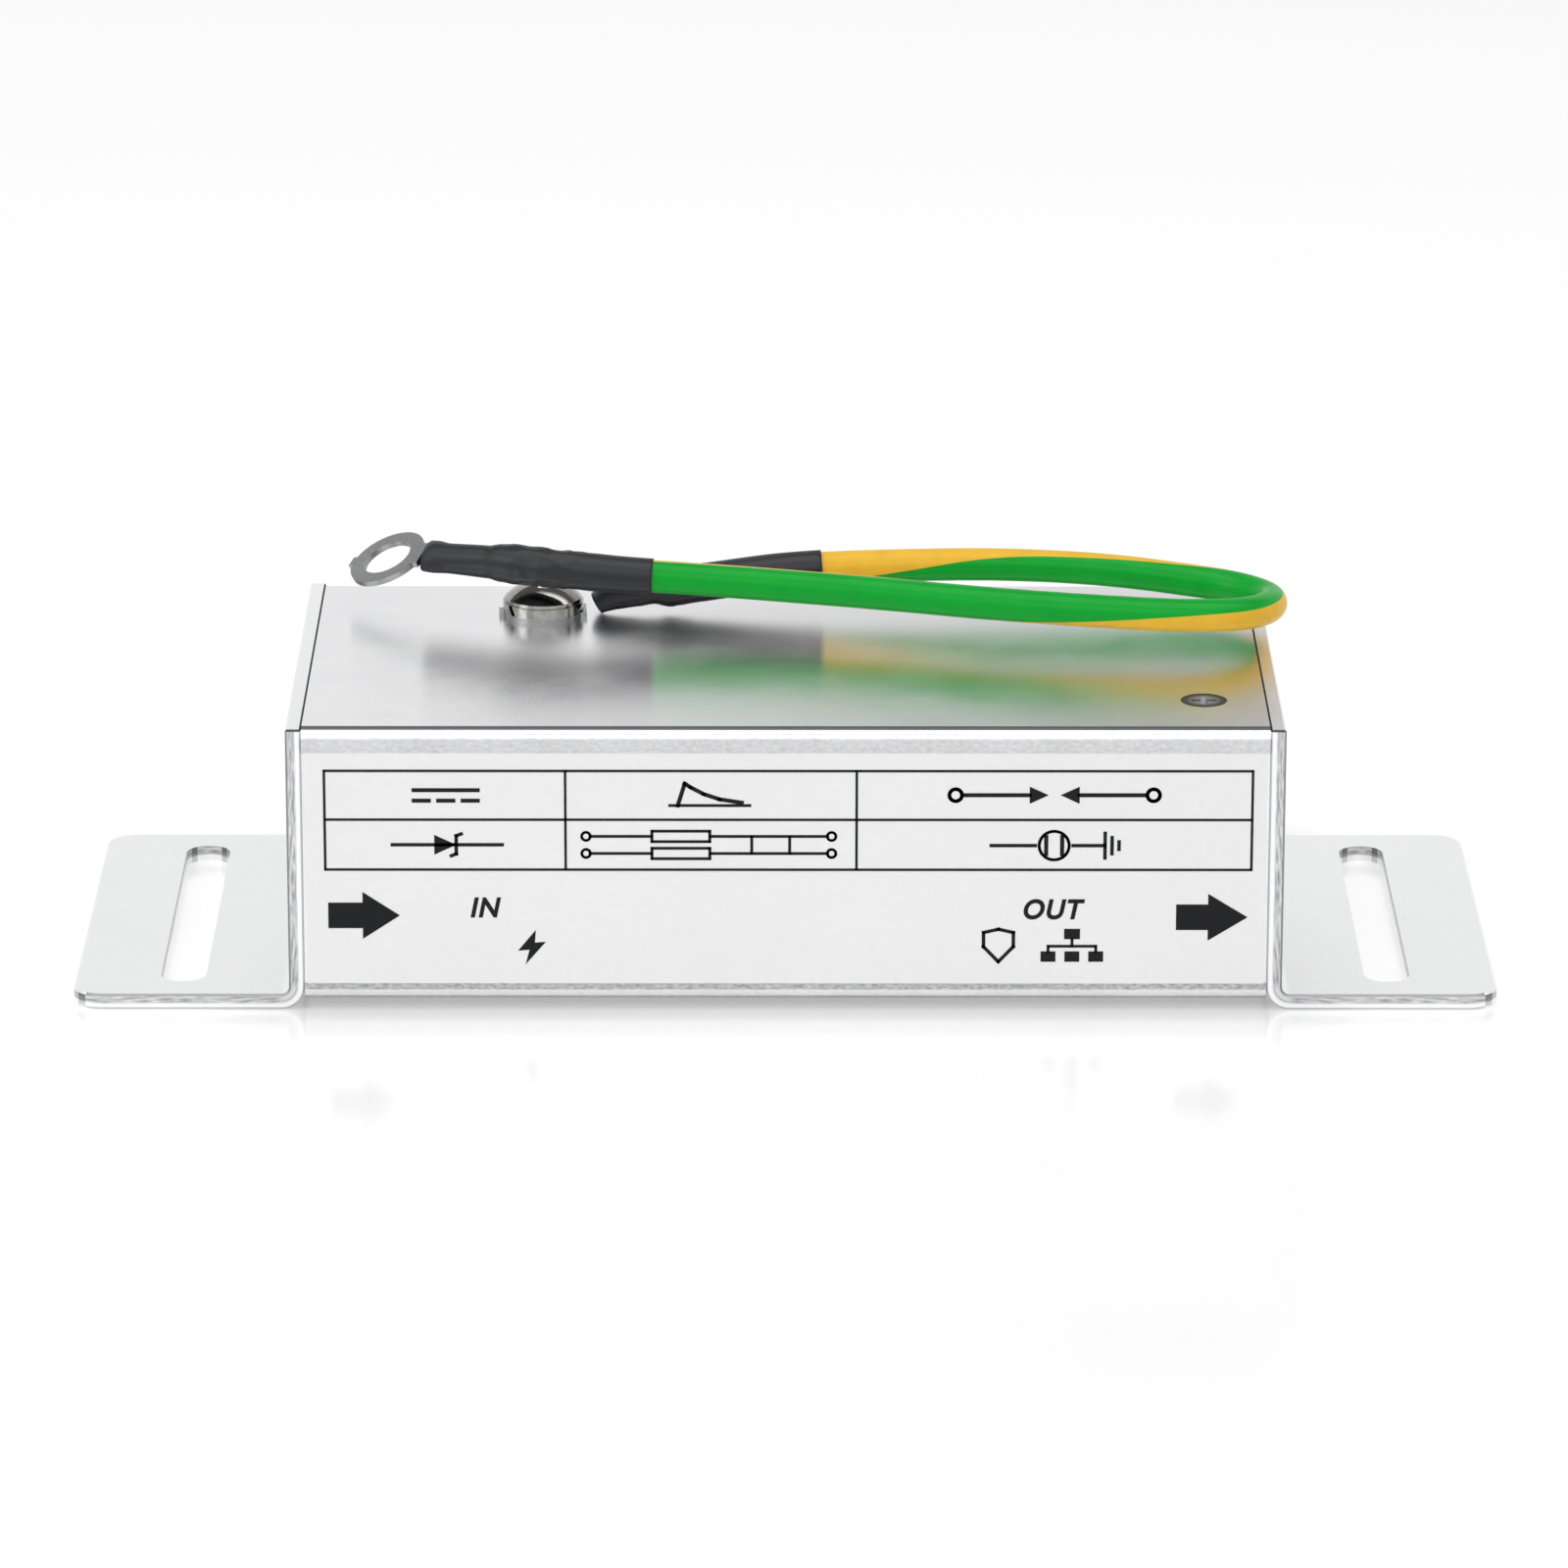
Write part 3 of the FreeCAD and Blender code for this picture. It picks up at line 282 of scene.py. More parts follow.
ear_edge = add_node(sheet_aluminium, "ShaderNodeMath", {0: on_ear.outputs[0], 1: upright.outputs[0]},
                    operation="MULTIPLY")
cut_edge = add_node(sheet_aluminium, "ShaderNodeMath", {0: profile.outputs[0], 1: ear_edge.outputs[0]},
                    operation="MAXIMUM")
lay_over(sheet_aluminium, cut_edge.outputs[0], "#F2F2F2", 0.4)
torn = add_node(sheet_aluminium, "ShaderNodeMath", {0: torn.outputs[0], 1: cut_edge.outputs[0]},
                operation="MULTIPLY")
torn = add_node(sheet_aluminium, "ShaderNodeMath", {0: torn.outputs[0], 1: streaks.outputs[0]},
                operation="MULTIPLY")
lay_over(sheet_aluminium, torn.outputs[0], "#9B9C9E", 0.55)
# Painted shade: a dark line on the sheet's rounded corners
slant = add_node(sheet_aluminium, "ShaderNodeMath", {0: facing.outputs["Y"], 1: HALF_TURNED, 2: CORNER_SPAN},
                 operation="COMPARE")
outer = add_node(sheet_aluminium, "ShaderNodeMapRange", {
    "Value": across.outputs[0], "From Min": 0.0004, "From Max": 0.0012, "To Min": 0.8, "To Max": 0.35})
slant = add_node(sheet_aluminium, "ShaderNodeMath", {0: slant.outputs[0], 1: outer.outputs[0]},
                 operation="MULTIPLY")
lay_over(sheet_aluminium, slant.outputs[0], "#606163", 0.5)
# A dark line of painted shade lies in the groove that the plates' rounded inner corners leave against the
# tube
SEAM_WIDTH = 0.00022
seam = add_node(sheet_aluminium, "ShaderNodeMath", {0: split.outputs["X"], 1: tube_high.x, 2: SEAM_WIDTH},
                operation="COMPARE")
top_edge = add_node(sheet_aluminium, "ShaderNodeMath", {
    0: facing.outputs["Z"], 1: HALF_TURNED, 2: CORNER_SPAN}, operation="COMPARE")
seam = add_node(sheet_aluminium, "ShaderNodeMath", {0: seam.outputs[0], 1: top_edge.outputs[0]},
                operation="MULTIPLY")
lay_over(sheet_aluminium, seam.outputs[0], "#3C3D3F", 0.6)
# The painted dark line of shade along the lid's front goes on over the plates' top corners
corner = add_node(sheet_aluminium, "ShaderNodeMath", {0: facing.outputs["Y"], 1: facing.outputs["Z"]},
                  operation="MINIMUM")
corner = add_node(sheet_aluminium, "ShaderNodeMath", {0: corner.outputs[0], 1: 0.45},
                  operation="GREATER_THAN")
at_top = add_node(sheet_aluminium, "ShaderNodeMath", {0: split.outputs["Z"], 1: TOP_CORNER},
                  operation="GREATER_THAN")
corner = add_node(sheet_aluminium, "ShaderNodeMath", {0: corner.outputs[0], 1: at_top.outputs[0]},
                  operation="MULTIPLY")
lay_over(sheet_aluminium, corner.outputs[0], "#4A4B4D", 0.6)

# Clear-passivated zinc is a cool blue-grey satin with clouds of about 0.4 mm
zinc_plate = new_finish("zinc_plated_steel", metallic=1.0)
add_grain(zinc_plate, 0.0004, "#A9ACB2", "#C3C6CB", (0.22, 0.34), 0.000002)
for end in ("in", "out"):
    dress(f"end_plate_{end}", sheet_aluminium)
    dress(f"end_screws_{end}", zinc_plate)

# Front label: a satin film in the recess of the tube's front, printed in near-black ink with a ruled
# table of electrical symbols, two arrows, the port marks, a surge bolt and a network symbol.

LABEL_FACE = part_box("front_label")[0].y
INK_HEIGHT = 0.000025
# Line widths in millimetres, as are all places on the label
RULE, THIN, PLAIN, BOLD = 0.26, 0.3, 0.36, 0.42
RING_STEP = 12              # degrees from one run of a circle to the next

# Polyester film gives a flat near-white satin without visible grain; 0.8 mm waves soften its gloss
label_film = new_finish("satin_label_film", ior=1.5)
add_grain(label_film, 0.0008, "#F3F3F3", "#F6F6F6", (0.40, 0.46), 0.0000004)
dress("front_label", label_film)

# Screen ink dries near-black and dull, a little uneven over the 0.4 mm that the mesh leaves
screen_ink = new_finish("screen_printed_ink", specular_ior_level=0.2)
add_grain(screen_ink, 0.0004, "#0D0E10", "#131417", (0.5, 0.6), 0.000002)


def finish_piece(piece, material):
    """Links a new piece, gives it its finish, and sets it on the body."""
    bpy.context.scene.collection.objects.link(piece)
    piece.data.materials.clear()
    piece.data.materials.append(material)
    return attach(piece, "root")


def mesh_piece(name, shape, material, smooth=None):
    """A new piece from a finished bmesh, smooth up to an angle in degrees where one is given."""
    bmesh.ops.recalc_face_normals(shape, faces=shape.faces)
    mesh = bpy.data.meshes.new(name)
    shape.to_mesh(mesh)
    shape.free()
    if smooth is not None:
        mesh.shade_smooth()
        mesh.set_sharp_from_angle(angle=math.radians(smooth))
    return finish_piece(bpy.data.objects.new(name, mesh), material)


def ink_patch(shape, outline):
    """One flat patch of ink on the label, from x and z in millimetres."""
    corners = [shape.verts.new((x / 1000, LABEL_FACE, z / 1000)) for x, z in outline]
    face = shape.faces.new(corners)
    raised = bmesh.ops.extrude_face_region(shape, geom=[face])["geom"]
    verts = [part for part in raised if isinstance(part, bmesh.types.BMVert)]
    bmesh.ops.translate(shape, verts=verts, vec=(0, -INK_HEIGHT, 0))


def ink_line(shape, points, width=RULE):
    """A ruled line through points, each run squared off at the middle of its corners."""
    for (x0, z0), (x1, z1) in zip(points, points[1:]):
        run = Vector((x1 - x0, z1 - z0)).normalized() * width / 2
        across = Vector((-run.y, run.x))
        start, stop = Vector((x0, z0)) - run, Vector((x1, z1)) + run
        ink_patch(shape, [start + across, stop + across, stop - across, start - across])


def ink_ring(shape, x, z, radius, width):
    """A ruled circle of short runs."""
    turns = [math.radians(angle) for angle in range(0, 361, RING_STEP)]
    ink_line(shape, [(x + radius * math.cos(turn), z + radius * math.sin(turn)) for turn in turns], width)


table = bmesh.new()
left, right, top, middle, bottom = -46.15, 46.7, 25.22, 20.1, 14.84
columns = (left, -22.05, 7.1, right)
for z in (top, middle, bottom):
    ink_line(table, [(left, z), (right, z)])
for x in columns:
    ink_line(table, [(x, bottom), (x, top)])
mesh_piece("table_print", table, screen_ink)

arrows = bmesh.new()
half_shaft, half_head = 1.35, 2.48
for tail, neck, tip, z in ((-45.93, -42.47, -38.74, 9.99), (39.22, 42.43, 46.41, 9.83)):
    ink_patch(arrows, [(tail, z + half_shaft), (neck, z + half_shaft), (neck, z + half_head), (tip, z),
                       (neck, z - half_head), (neck, z - half_shaft), (tail, z - half_shaft)])
mesh_piece("arrow_print", arrows, screen_ink)

symbols = bmesh.new()
# Direct current: a line over three dashes
ink_line(symbols, [(-37.2, 23.2), (-30.8, 23.2)], BOLD)
for x in (-37.2, -34.75, -32.3):
    ink_line(symbols, [(x, 22.1), (x + 1.5, 22.1)], BOLD)
# Surge: a steep rise and a long decay on a base line
ink_line(symbols, [(-11.6, 21.6), (-3.6, 21.6)], THIN)
decay = [(-9.5, 23.5), (-8.2, 22.8), (-6.6, 22.25), (-4.4, 21.9)]
ink_line(symbols, [(-10.8, 21.6), (-10.1, 23.9), *decay], BOLD)
# Discharge: two arrows that meet at a gap
for side in (-1, 1):
    x = 26.9 + side * 0.6
    ink_patch(symbols, [(x, 22.7), (x + side * 1.9, 23.6), (x + side * 1.9, 21.8)])
    ink_line(symbols, [(x + side * 1.9, 22.7), (x + side * 8.5, 22.7)], BOLD)
    ink_ring(symbols, x + side * 9.3, 22.7, 0.62, PLAIN)
# Clamping diode between two leads
ink_line(symbols, [(-39.4, 17.46), (-28.4, 17.46)], PLAIN)
ink_patch(symbols, [(-35.2, 18.5), (-35.2, 16.42), (-33.0, 17.46)])
ink_line(symbols, [(-33.5, 16.3), (-33.0, 16.5), (-33.0, 18.4), (-32.5, 18.6)], PLAIN)
# Series resistors between two pairs of terminals
upper, lower = 18.35, 16.55
start, stop, half_height = -13.4, -7.6, 0.55
for z in (upper, lower):
    ink_line(symbols, [(-19.6, z), (start, z)], THIN)
    ink_line(symbols, [(start, z + half_height), (stop, z + half_height), (stop, z - half_height),
                       (start, z - half_height), (start, z + half_height)], THIN)
    ink_line(symbols, [(stop, z), (4.2, z)], THIN)
    ink_ring(symbols, -20.0, z, 0.42, RULE)
    ink_ring(symbols, 4.6, z, 0.42, RULE)
for x in (-3.4, 0.4):
    ink_line(symbols, [(x, upper), (x, lower)], THIN)
# Gas tube to earth
z = 17.4
ink_line(symbols, [(20.6, z), (25.0, z)], PLAIN)
ink_ring(symbols, 26.9, z, 1.5, THIN)
ink_line(symbols, [(26.1, 18.3), (26.1, 16.5)], BOLD)
ink_line(symbols, [(27.7, 18.3), (27.7, 16.5)], BOLD)
ink_line(symbols, [(28.8, z), (32.0, z)], PLAIN)
for x, reach in ((32.0, 1.3), (32.7, 0.85), (33.4, 0.4)):
    ink_line(symbols, [(x, z - reach), (x, z + reach)], PLAIN)
# Surge bolt beside the in mark
ink_patch(symbols, [(-25.1, 8.45), (-26.9, 6.25), (-25.75, 6.35), (-26.15, 4.8), (-24.1, 7.2), (-25.2, 7.1)])
# Shield and network symbols under the out mark
ink_line(symbols, [(19.9, 8.2), (21.4, 8.55), (22.9, 8.2), (22.9, 6.7), (21.4, 5.1), (19.9, 6.7),
                   (19.9, 8.2)], PLAIN)
ink_patch(symbols, [(28.0, 8.6), (29.6, 8.6), (29.6, 7.5), (28.0, 7.5)])
ink_line(symbols, [(28.8, 7.5), (28.8, 6.75)], THIN)
ink_line(symbols, [(26.4, 6.2), (26.4, 6.75), (31.2, 6.75), (31.2, 6.2)], THIN)
for x in (26.4, 28.8, 31.2):
    ink_patch(symbols, [(x - 0.75, 6.2), (x + 0.75, 6.2), (x + 0.75, 5.1), (x - 0.75, 5.1)])
mesh_piece("symbol_print", symbols, screen_ink)


PORT_MARK_HEIGHT = 0.0020
CAPITAL_SHARE = 0.7         # a capital's height as a share of the font's size
MARK_SLANT = 0.22
MARK_WEIGHT = 0.00009       # how far each stroke is thickened to either side
MARK_SPACING = 1.12
MARK_WIDTH = 0.92


def port_mark(name, word, x, z):
    """A generic port mark in wide slanted capitals."""
    text = bpy.data.curves.new(name, "FONT")
    text.body = word
    text.align_x = "CENTER"
    text.align_y = "CENTER"
    text.size = PORT_MARK_HEIGHT / CAPITAL_SHARE
    text.shear = MARK_SLANT
    text.offset = MARK_WEIGHT
    text.space_character = MARK_SPACING
    text.extrude = INK_HEIGHT / 2
    text.resolution_u = 6
    letters = bpy.data.objects.new(name + "_letters", text)
    bpy.context.scene.collection.objects.link(letters)
    bpy.context.view_layer.update()
    mesh = bpy.data.meshes.new_from_object(letters.evaluated_get(bpy.context.evaluated_depsgraph_get()))
    bpy.data.objects.remove(letters)
    place = Matrix.Translation((x / 1000, LABEL_FACE - INK_HEIGHT / 2, z / 1000))
    upright = Matrix.Rotation(math.radians(90), 4, "X") @ Matrix.Diagonal((MARK_WIDTH, 1, 1, 1))
    mesh.transform(place @ upright)
    finish_piece(bpy.data.objects.new(name, mesh), screen_ink)


port_mark("in_mark", "IN", -30.3, 10.72)
port_mark("out_mark", "OUT", 26.65, 10.55)

# Lid screws: a nickel-plated pan screw with a spring washer clamps the earth lead to a pressed-in nut,
# and a small black countersunk screw, with its mate from below, holds the board's post.

# Bright nickel mirrors the room in a warm grey, sharp but for waves of about 0.6 mm
nickel_plate = new_finish("bright_nickel_plate", metallic=1.0)
add_grain(nickel_plate, 0.0006, "#8F8E8B", "#A9A7A3", (0.08, 0.14), 0.000001)
# Black oxide is a dark grey with a faint metal shine, uneven over about 0.4 mm
black_oxide = new_finish("black_oxide_steel", metallic=0.6)
add_grain(black_oxide, 0.0004, "#26272A", "#3A3B3F", (0.34, 0.5), 0.000004)
dress("ground_screw", nickel_plate)
dress("lock_washer", nickel_plate)
dress("clinch_nut", zinc_plate)
dress("post_screw", zinc_plate)
# A painted highlight, for the reflection in the head, lightens the small screw's oxide round its recess, less
# and less up to the rim
HIGHLIGHT_INSIDE, HIGHLIGHT_UP_TO = 0.0009, 0.0019
screw_low, screw_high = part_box("board_screw")
highlight_place = add_node(black_oxide, "ShaderNodeMapping", {
    "Vector": add_node(black_oxide, "ShaderNodeTexCoord").outputs["Object"],
    "Location": (-(screw_low.x + screw_high.x) / 2, -(screw_low.y + screw_high.y) / 2, -screw_high.z)})
highlight_reach = add_node(black_oxide, "ShaderNodeVectorMath", {0: highlight_place.outputs[0]}, operation="LENGTH")
painted_highlight = add_node(black_oxide, "ShaderNodeMapRange", {
    "Value": highlight_reach.outputs["Value"], "From Min": HIGHLIGHT_UP_TO, "From Max": HIGHLIGHT_INSIDE, "To Max": 0.6})
lay_over(black_oxide, painted_highlight.outputs[0], "#B4B7BC", 0.3)
dress("board_screw", black_oxide)

# Earth lead: about 150 mm of stranded copper in green and yellow striped PVC, from the ring under the
# lid screw round one open loop and back over it. It lies in the air on its own stiffness.

WIRE = 0.0034
PVC_GREEN = "#00A02E"
PVC_YELLOW = "#E9B837"
PVC_WAVE = 0.0025           # the insulation's wall waves softly over this length
FIRST_CORNER = 1 / 6        # the tube's first corner lies this share of a turn before straight up
EDGE_BLUR = 0.004           # the colours meet over this share of a turn, to either side
# The route's points in metres, and the turn of the yellow half from straight up towards the loop's inside.
# Eleven of them stand up to 3 mm from the CAD's, moved to where the lid mirrors the lead.
LEAD_ROUTE = [
    ((-0.0124, 0.01517, 0.03222), 72),
    ((-0.00744, 0.01543, 0.03283), 72),
    ((0.0012, 0.0160, 0.0340), 74),
    ((0.01139, 0.01632, 0.03430), 26),
    ((0.02256, 0.01653, 0.03440), -33),
    ((0.03336, 0.01627, 0.03390), -44),
    ((0.0414, 0.0154, 0.0331), -60),
    ((0.0476, 0.0130, 0.0328), -88),
    ((0.0509, 0.0082, 0.0328), -120),
    ((0.04854, 0.00219, 0.03330), -138),
    ((0.04229, -0.00061, 0.03380), -146),
    ((0.03329, 0.00022, 0.03400), -182),
    ((0.02153, 0.00201, 0.03430), -236),
    ((0.00958, 0.00565, 0.03440), -252),
    ((-0.00220, 0.00792, 0.03470), -254),
    ((-0.0122, 0.0095, 0.0350), -263),
    ((-0.0194, 0.0095, 0.0354), -266),
    ((-0.0254, 0.0103, 0.0359), -266),
    ((-0.0300, 0.0124, 0.0357), -266),
]


def lead_mesh(thickness):
    """The lead's smooth line as a mesh: a plain line of points, or a tube of a thickness."""
    curve = bpy.data.curves.new("lead_line", "CURVE")
    curve.dimensions = "3D"
    curve.twist_mode = "Z_UP"
    curve.resolution_u = 20
    curve.bevel_depth = thickness / 2
    curve.bevel_resolution = 10
    curve.use_fill_caps = True
    spline = curve.splines.new("NURBS")
    spline.points.add(len(LEAD_ROUTE) - 1)
    for point, (place, turn) in zip(spline.points, LEAD_ROUTE):
        point.co = (*place, 1)
        point.tilt = math.radians(turn)
    spline.order_u = 3
    spline.use_endpoint_u = True
    line = bpy.data.objects.new("lead_line", curve)
    bpy.context.scene.collection.objects.link(line)
    bpy.context.view_layer.update()
    mesh = bpy.data.meshes.new_from_object(line.evaluated_get(bpy.context.evaluated_depsgraph_get()))
    bpy.data.objects.remove(line)
    return mesh


# Soft extruded PVC has clear colours and a smooth, low gloss that runs along the lead
striped_pvc = new_finish("striped_soft_pvc", roughness=0.28, specular_ior_level=0.16)
around = add_node(striped_pvc, "ShaderNodeSeparateXYZ", {
    0: add_node(striped_pvc, "ShaderNodeUVMap", uv_map="UVMap").outputs[0]}).outputs["Y"]
# Half the turn is yellow
half = add_node(striped_pvc, "ShaderNodeMath", {0: around, 1: 0.5 - FIRST_CORNER}, operation="ADD")
half = add_node(striped_pvc, "ShaderNodeMath", {0: half.outputs[0]}, operation="FRACT")
half = add_node(striped_pvc, "ShaderNodeMath", {0: half.outputs[0], 1: 0.5}, operation="SUBTRACT")
half = add_node(striped_pvc, "ShaderNodeMath", {0: half.outputs[0]}, operation="ABSOLUTE")
edge = add_node(striped_pvc, "ShaderNodeMapRange", {
    "Value": half.outputs[0], "From Min": 0.25 - EDGE_BLUR, "From Max": 0.25 + EDGE_BLUR})
stripe = add_node(striped_pvc, "ShaderNodeMix", {
    "Factor": edge.outputs[0], 6: linear(PVC_YELLOW), 7: linear(PVC_GREEN)}, data_type="RGBA")
pvc_place = add_node(striped_pvc, "ShaderNodeTexCoord").outputs["Object"]
pvc_wave = add_node(striped_pvc, "ShaderNodeTexNoise", {
    "Vector": pvc_place, "Scale": 1 / PVC_WAVE, "Detail": 2.0})
pvc_tone = add_node(striped_pvc, "ShaderNodeHueSaturation", {"Color": stripe.outputs[2]})
pvc_light = add_node(striped_pvc, "ShaderNodeMapRange", {
    "Value": pvc_wave.outputs["Fac"], "From Min": 0.3, "From Max": 0.7, "To Min": 0.94, "To Max": 1.04})
striped_pvc.node_tree.links.new(pvc_light.outputs[0], pvc_tone.inputs["Value"])
pvc_bump = add_node(striped_pvc, "ShaderNodeBump", {
    "Height": pvc_wave.outputs["Fac"], "Strength": 1.0, "Distance": 0.00001})
pvc_shader = striped_pvc.node_tree.nodes["Principled BSDF"]
striped_pvc.node_tree.links.new(pvc_tone.outputs[0], pvc_shader.inputs["Base Color"])
striped_pvc.node_tree.links.new(pvc_bump.outputs[0], pvc_shader.inputs["Normal"])

lead_points = [vert.co.copy() for vert in lead_mesh(0).vertices]
lead = bpy.data.objects.new("earth_lead", lead_mesh(WIRE))
lead.data.shade_smooth()
finish_piece(lead, striped_pvc)
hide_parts("ground_wire")

# Bare strands give a brownish orange with a dull shine; a grain of 0.3 mm is about one strand
bare_copper = new_finish("stranded_bare_copper", metallic=1.0)
add_grain(bare_copper, 0.0003, "#B0673F", "#D28A5C", (0.3, 0.45), 0.00001)
dress("conductor_ends", bare_copper)

# Ring terminals: one on each end of the lead, stamped from tinned copper sheet, with a bent neck and a
# rolled barrel crimped on the strands. One is clamped by the screw and one hangs free.

NECK_START, NECK_LENGTH = 0.0043, 0.0030
BARREL, BARREL_LENGTH, STRIP_GAP = 0.0028, 0.0050, 0.0008
RING_SHEET = 0.0006
SCREW_PLACE = Vector((-0.0252, 0.0145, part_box("fixed_ring_terminal")[0].z))

# Electro-tinned copper is a dull neutral grey with clouds of about 0.5 mm
tinned_copper = new_finish("dull_tinned_copper", metallic=1.0)
add_grain(tinned_copper, 0.0005, "#8B8D8D", "#A3A5A5", (0.3, 0.42), 0.000004)
dress("fixed_ring_terminal", tinned_copper)
dress("free_ring_terminal", tinned_copper)

# Shrink sleeves: 24 mm of black heat-shrink over each neck, barrel and the wire's end. Shrunk with hot
# air, they are flat at the neck, creased where the barrel meets the insulation, and satin.

SLEEVE_WALL = 0.00018
SLEEVE_SIDES = 48
NECK_STEPS, BARREL_STEPS = 4, 16
# The folds' noise has a dimension, a lacunarity, octaves, an offset and a gain
FOLD_FORM = (0.8, 2.1, 3, 0.9, 2.0)
FOLD_PITCH = 0.001 / 0.6    # from one fold to the next
WAVE_PITCH = 0.002 / 0.6    # of the wall's slight unevenness
WAVE_DEPTH = 0.00003

# Shrunk polyolefin is a bluish black with satin highlights, broken by an orange peel of about 0.6 mm
heat_shrink = new_finish("shrunk_polyolefin", specular_ior_level=0.4)
add_grain(heat_shrink, 0.0006, "#101116", "#191A21", (0.36, 0.5), 0.000008)


def shrink_sleeve(name, ring_middle, turn, bends, bare_share, line, sizes, creases, node):
    """A sleeve swept from a terminal's neck along its barrel and the lead's own line.

    The bends are the neck's and the barrel's slopes in degrees, and bare_share is the share of the neck
    left bare. Each of the sizes is a run along the sleeve with its half width and half height there.
    """
    neck_bend, barrel_bend = [math.radians(bend) for bend in bends]
    along = turn @ Vector((math.cos(barrel_bend), 0, math.sin(barrel_bend)))
    above = turn @ Vector((-math.sin(barrel_bend), 0, math.cos(barrel_bend)))
    side = turn @ Vector((0, 1, 0))
    root = ring_middle + turn @ Vector((NECK_START, 0, RING_SHEET / 2))
    underside = Vector((NECK_START + NECK_LENGTH * math.cos(neck_bend), 0, NECK_LENGTH * math.sin(neck_bend)))
    barrel_start = ring_middle + turn @ underside + above * BARREL / 2
    neck_edge = root + (barrel_start - root) * bare_share
    spine = [neck_edge.lerp(barrel_start, step / NECK_STEPS) for step in range(NECK_STEPS)]
    spine += [barrel_start + along * (BARREL_LENGTH + STRIP_GAP) * step / BARREL_STEPS
              for step in range(BARREL_STEPS)]
    spine += line
    shape = bmesh.new()
    ring = bmesh.ops.create_circle(shape, segments=SLEEVE_SIDES, radius=1.0)["verts"]
    before = Matrix.Identity(4)
    run = 0.0
    for index, place in enumerate(spine):
        if index:
            run += (place - spine[index - 1]).length
        if run > sizes[-1][0]:
            break
        ahead = spine[min(index + 1, len(spine) - 1)] - spine[max(index - 1, 0)]
        ahead.normalize()
        side = (side - ahead * side.dot(ahead)).normalized()
        for (run_0, wide_0, high_0), (run_1, wide_1, high_1) in zip(sizes, sizes[1:]):
            if run_0 <= run <= run_1:
                share = (run - run_0) / (run_1 - run_0)
                share = share * share * (3 - 2 * share)
                wide = wide_0 + (wide_1 - wide_0) * share
                high = high_0 + (high_1 - high_0) * share
        up = ahead.cross(side)
        now = Matrix.Translation(place) @ Matrix((side * wide, up * high, ahead)).transposed().to_4x4()
        if index:
            edges = [edge for edge in shape.edges if edge.verts[0] in ring and edge.verts[1] in ring]
            grown = bmesh.ops.extrude_edge_only(shape, edges=edges)["geom"]
            ring = [part for part in grown if isinstance(part, bmesh.types.BMVert)]
        bmesh.ops.transform(shape, matrix=now @ before.inverted(), verts=ring)
        before = now
    shape.normal_update()
    for vert in shape.verts:
        vert.co += vert.normal * creases(vert.co)
    sleeve = mesh_piece(name, shape, heat_shrink, smooth=60)
    wall = sleeve.modifiers.new("wall", "SOLIDIFY")
    wall.thickness = SLEEVE_WALL
    wall.offset = -1
    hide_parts(node)
    return sleeve


def fold_depth(middle, reach, depth):
    """Creases round a point that die away at a distance from it."""
    def depth_at(place):
        near = max(0.0, 1 - (place - middle).length / reach)
        folds = noise.ridged_multi_fractal(place / FOLD_PITCH, *FOLD_FORM) - 1.0
        return depth * near * folds + WAVE_DEPTH * noise.noise(place / WAVE_PITCH)
    return depth_at


fixed_turn = Quaternion((0, 0, 1), math.radians(3))
fixed_sizes = [(0, 0.00182, 0.00112), (0.0016, 0.00168, 0.00162), (0.0058, 0.0017, 0.00165),
               (0.0078, 0.0021, 0.0021), (0.012, 0.002, 0.002), (0.024, 0.00192, 0.00192)]
fixed_fold = fold_depth(lead_points[0], reach=0.006, depth=0.0002)
fixed_sleeve = shrink_sleeve("fixed_heat_shrink", SCREW_PLACE, fixed_turn, (12, 7), 7 / 15, lead_points,
                             fixed_sizes, fixed_fold, "fixed_sleeve")

# The free ring hangs where its barrel leads to the wire's end, rolled a little towards the camera
back_points = lead_points[::-1]
free_roll = math.radians(25.5)
to_wire = (Vector(LEAD_ROUTE[-2][0]) - Vector(LEAD_ROUTE[-1][0])).normalized()
free_bends = (-37.5, -13.1)
barrel_bend = math.radians(free_bends[1])
barrel_line = Vector((math.cos(barrel_bend), 0, math.sin(barrel_bend)))
free_turn = Quaternion(to_wire, free_roll) @ barrel_line.rotation_difference(to_wire)
neck_bend = math.radians(free_bends[0])
wire_end = Vector((NECK_START + NECK_LENGTH * math.cos(neck_bend), 0, NECK_LENGTH * math.sin(neck_bend)))
wire_end += Vector((-math.sin(barrel_bend), 0, math.cos(barrel_bend))) * BARREL / 2
wire_end += barrel_line * (BARREL_LENGTH + STRIP_GAP)
free_middle = back_points[0] - free_turn @ wire_end
free_sizes = [(0, 0.00205, 0.0013), (0.0009, 0.00198, 0.00148), (0.0024, 0.0016, 0.00156),
              (0.007, 0.00162, 0.00178), (0.0086, 0.0019, 0.00204), (0.0106, 0.0021, 0.00218),
              (0.0124, 0.00207, 0.00208), (0.016, 0.00203, 0.00203), (0.0247, 0.00186, 0.00186)]
insulation_edge = back_points[14]
free_fold = fold_depth(insulation_edge, reach=0.0055, depth=0.0003)
free_sleeve = shrink_sleeve("free_heat_shrink", free_middle, free_turn, free_bends, 1 / 4, back_points,
                            free_sizes, free_fold, "free_sleeve")

# Studio: a plain white floor, white surroundings, two cards that only reflections show, three soft
# lamps, and the camera at the photograph's place and angle.


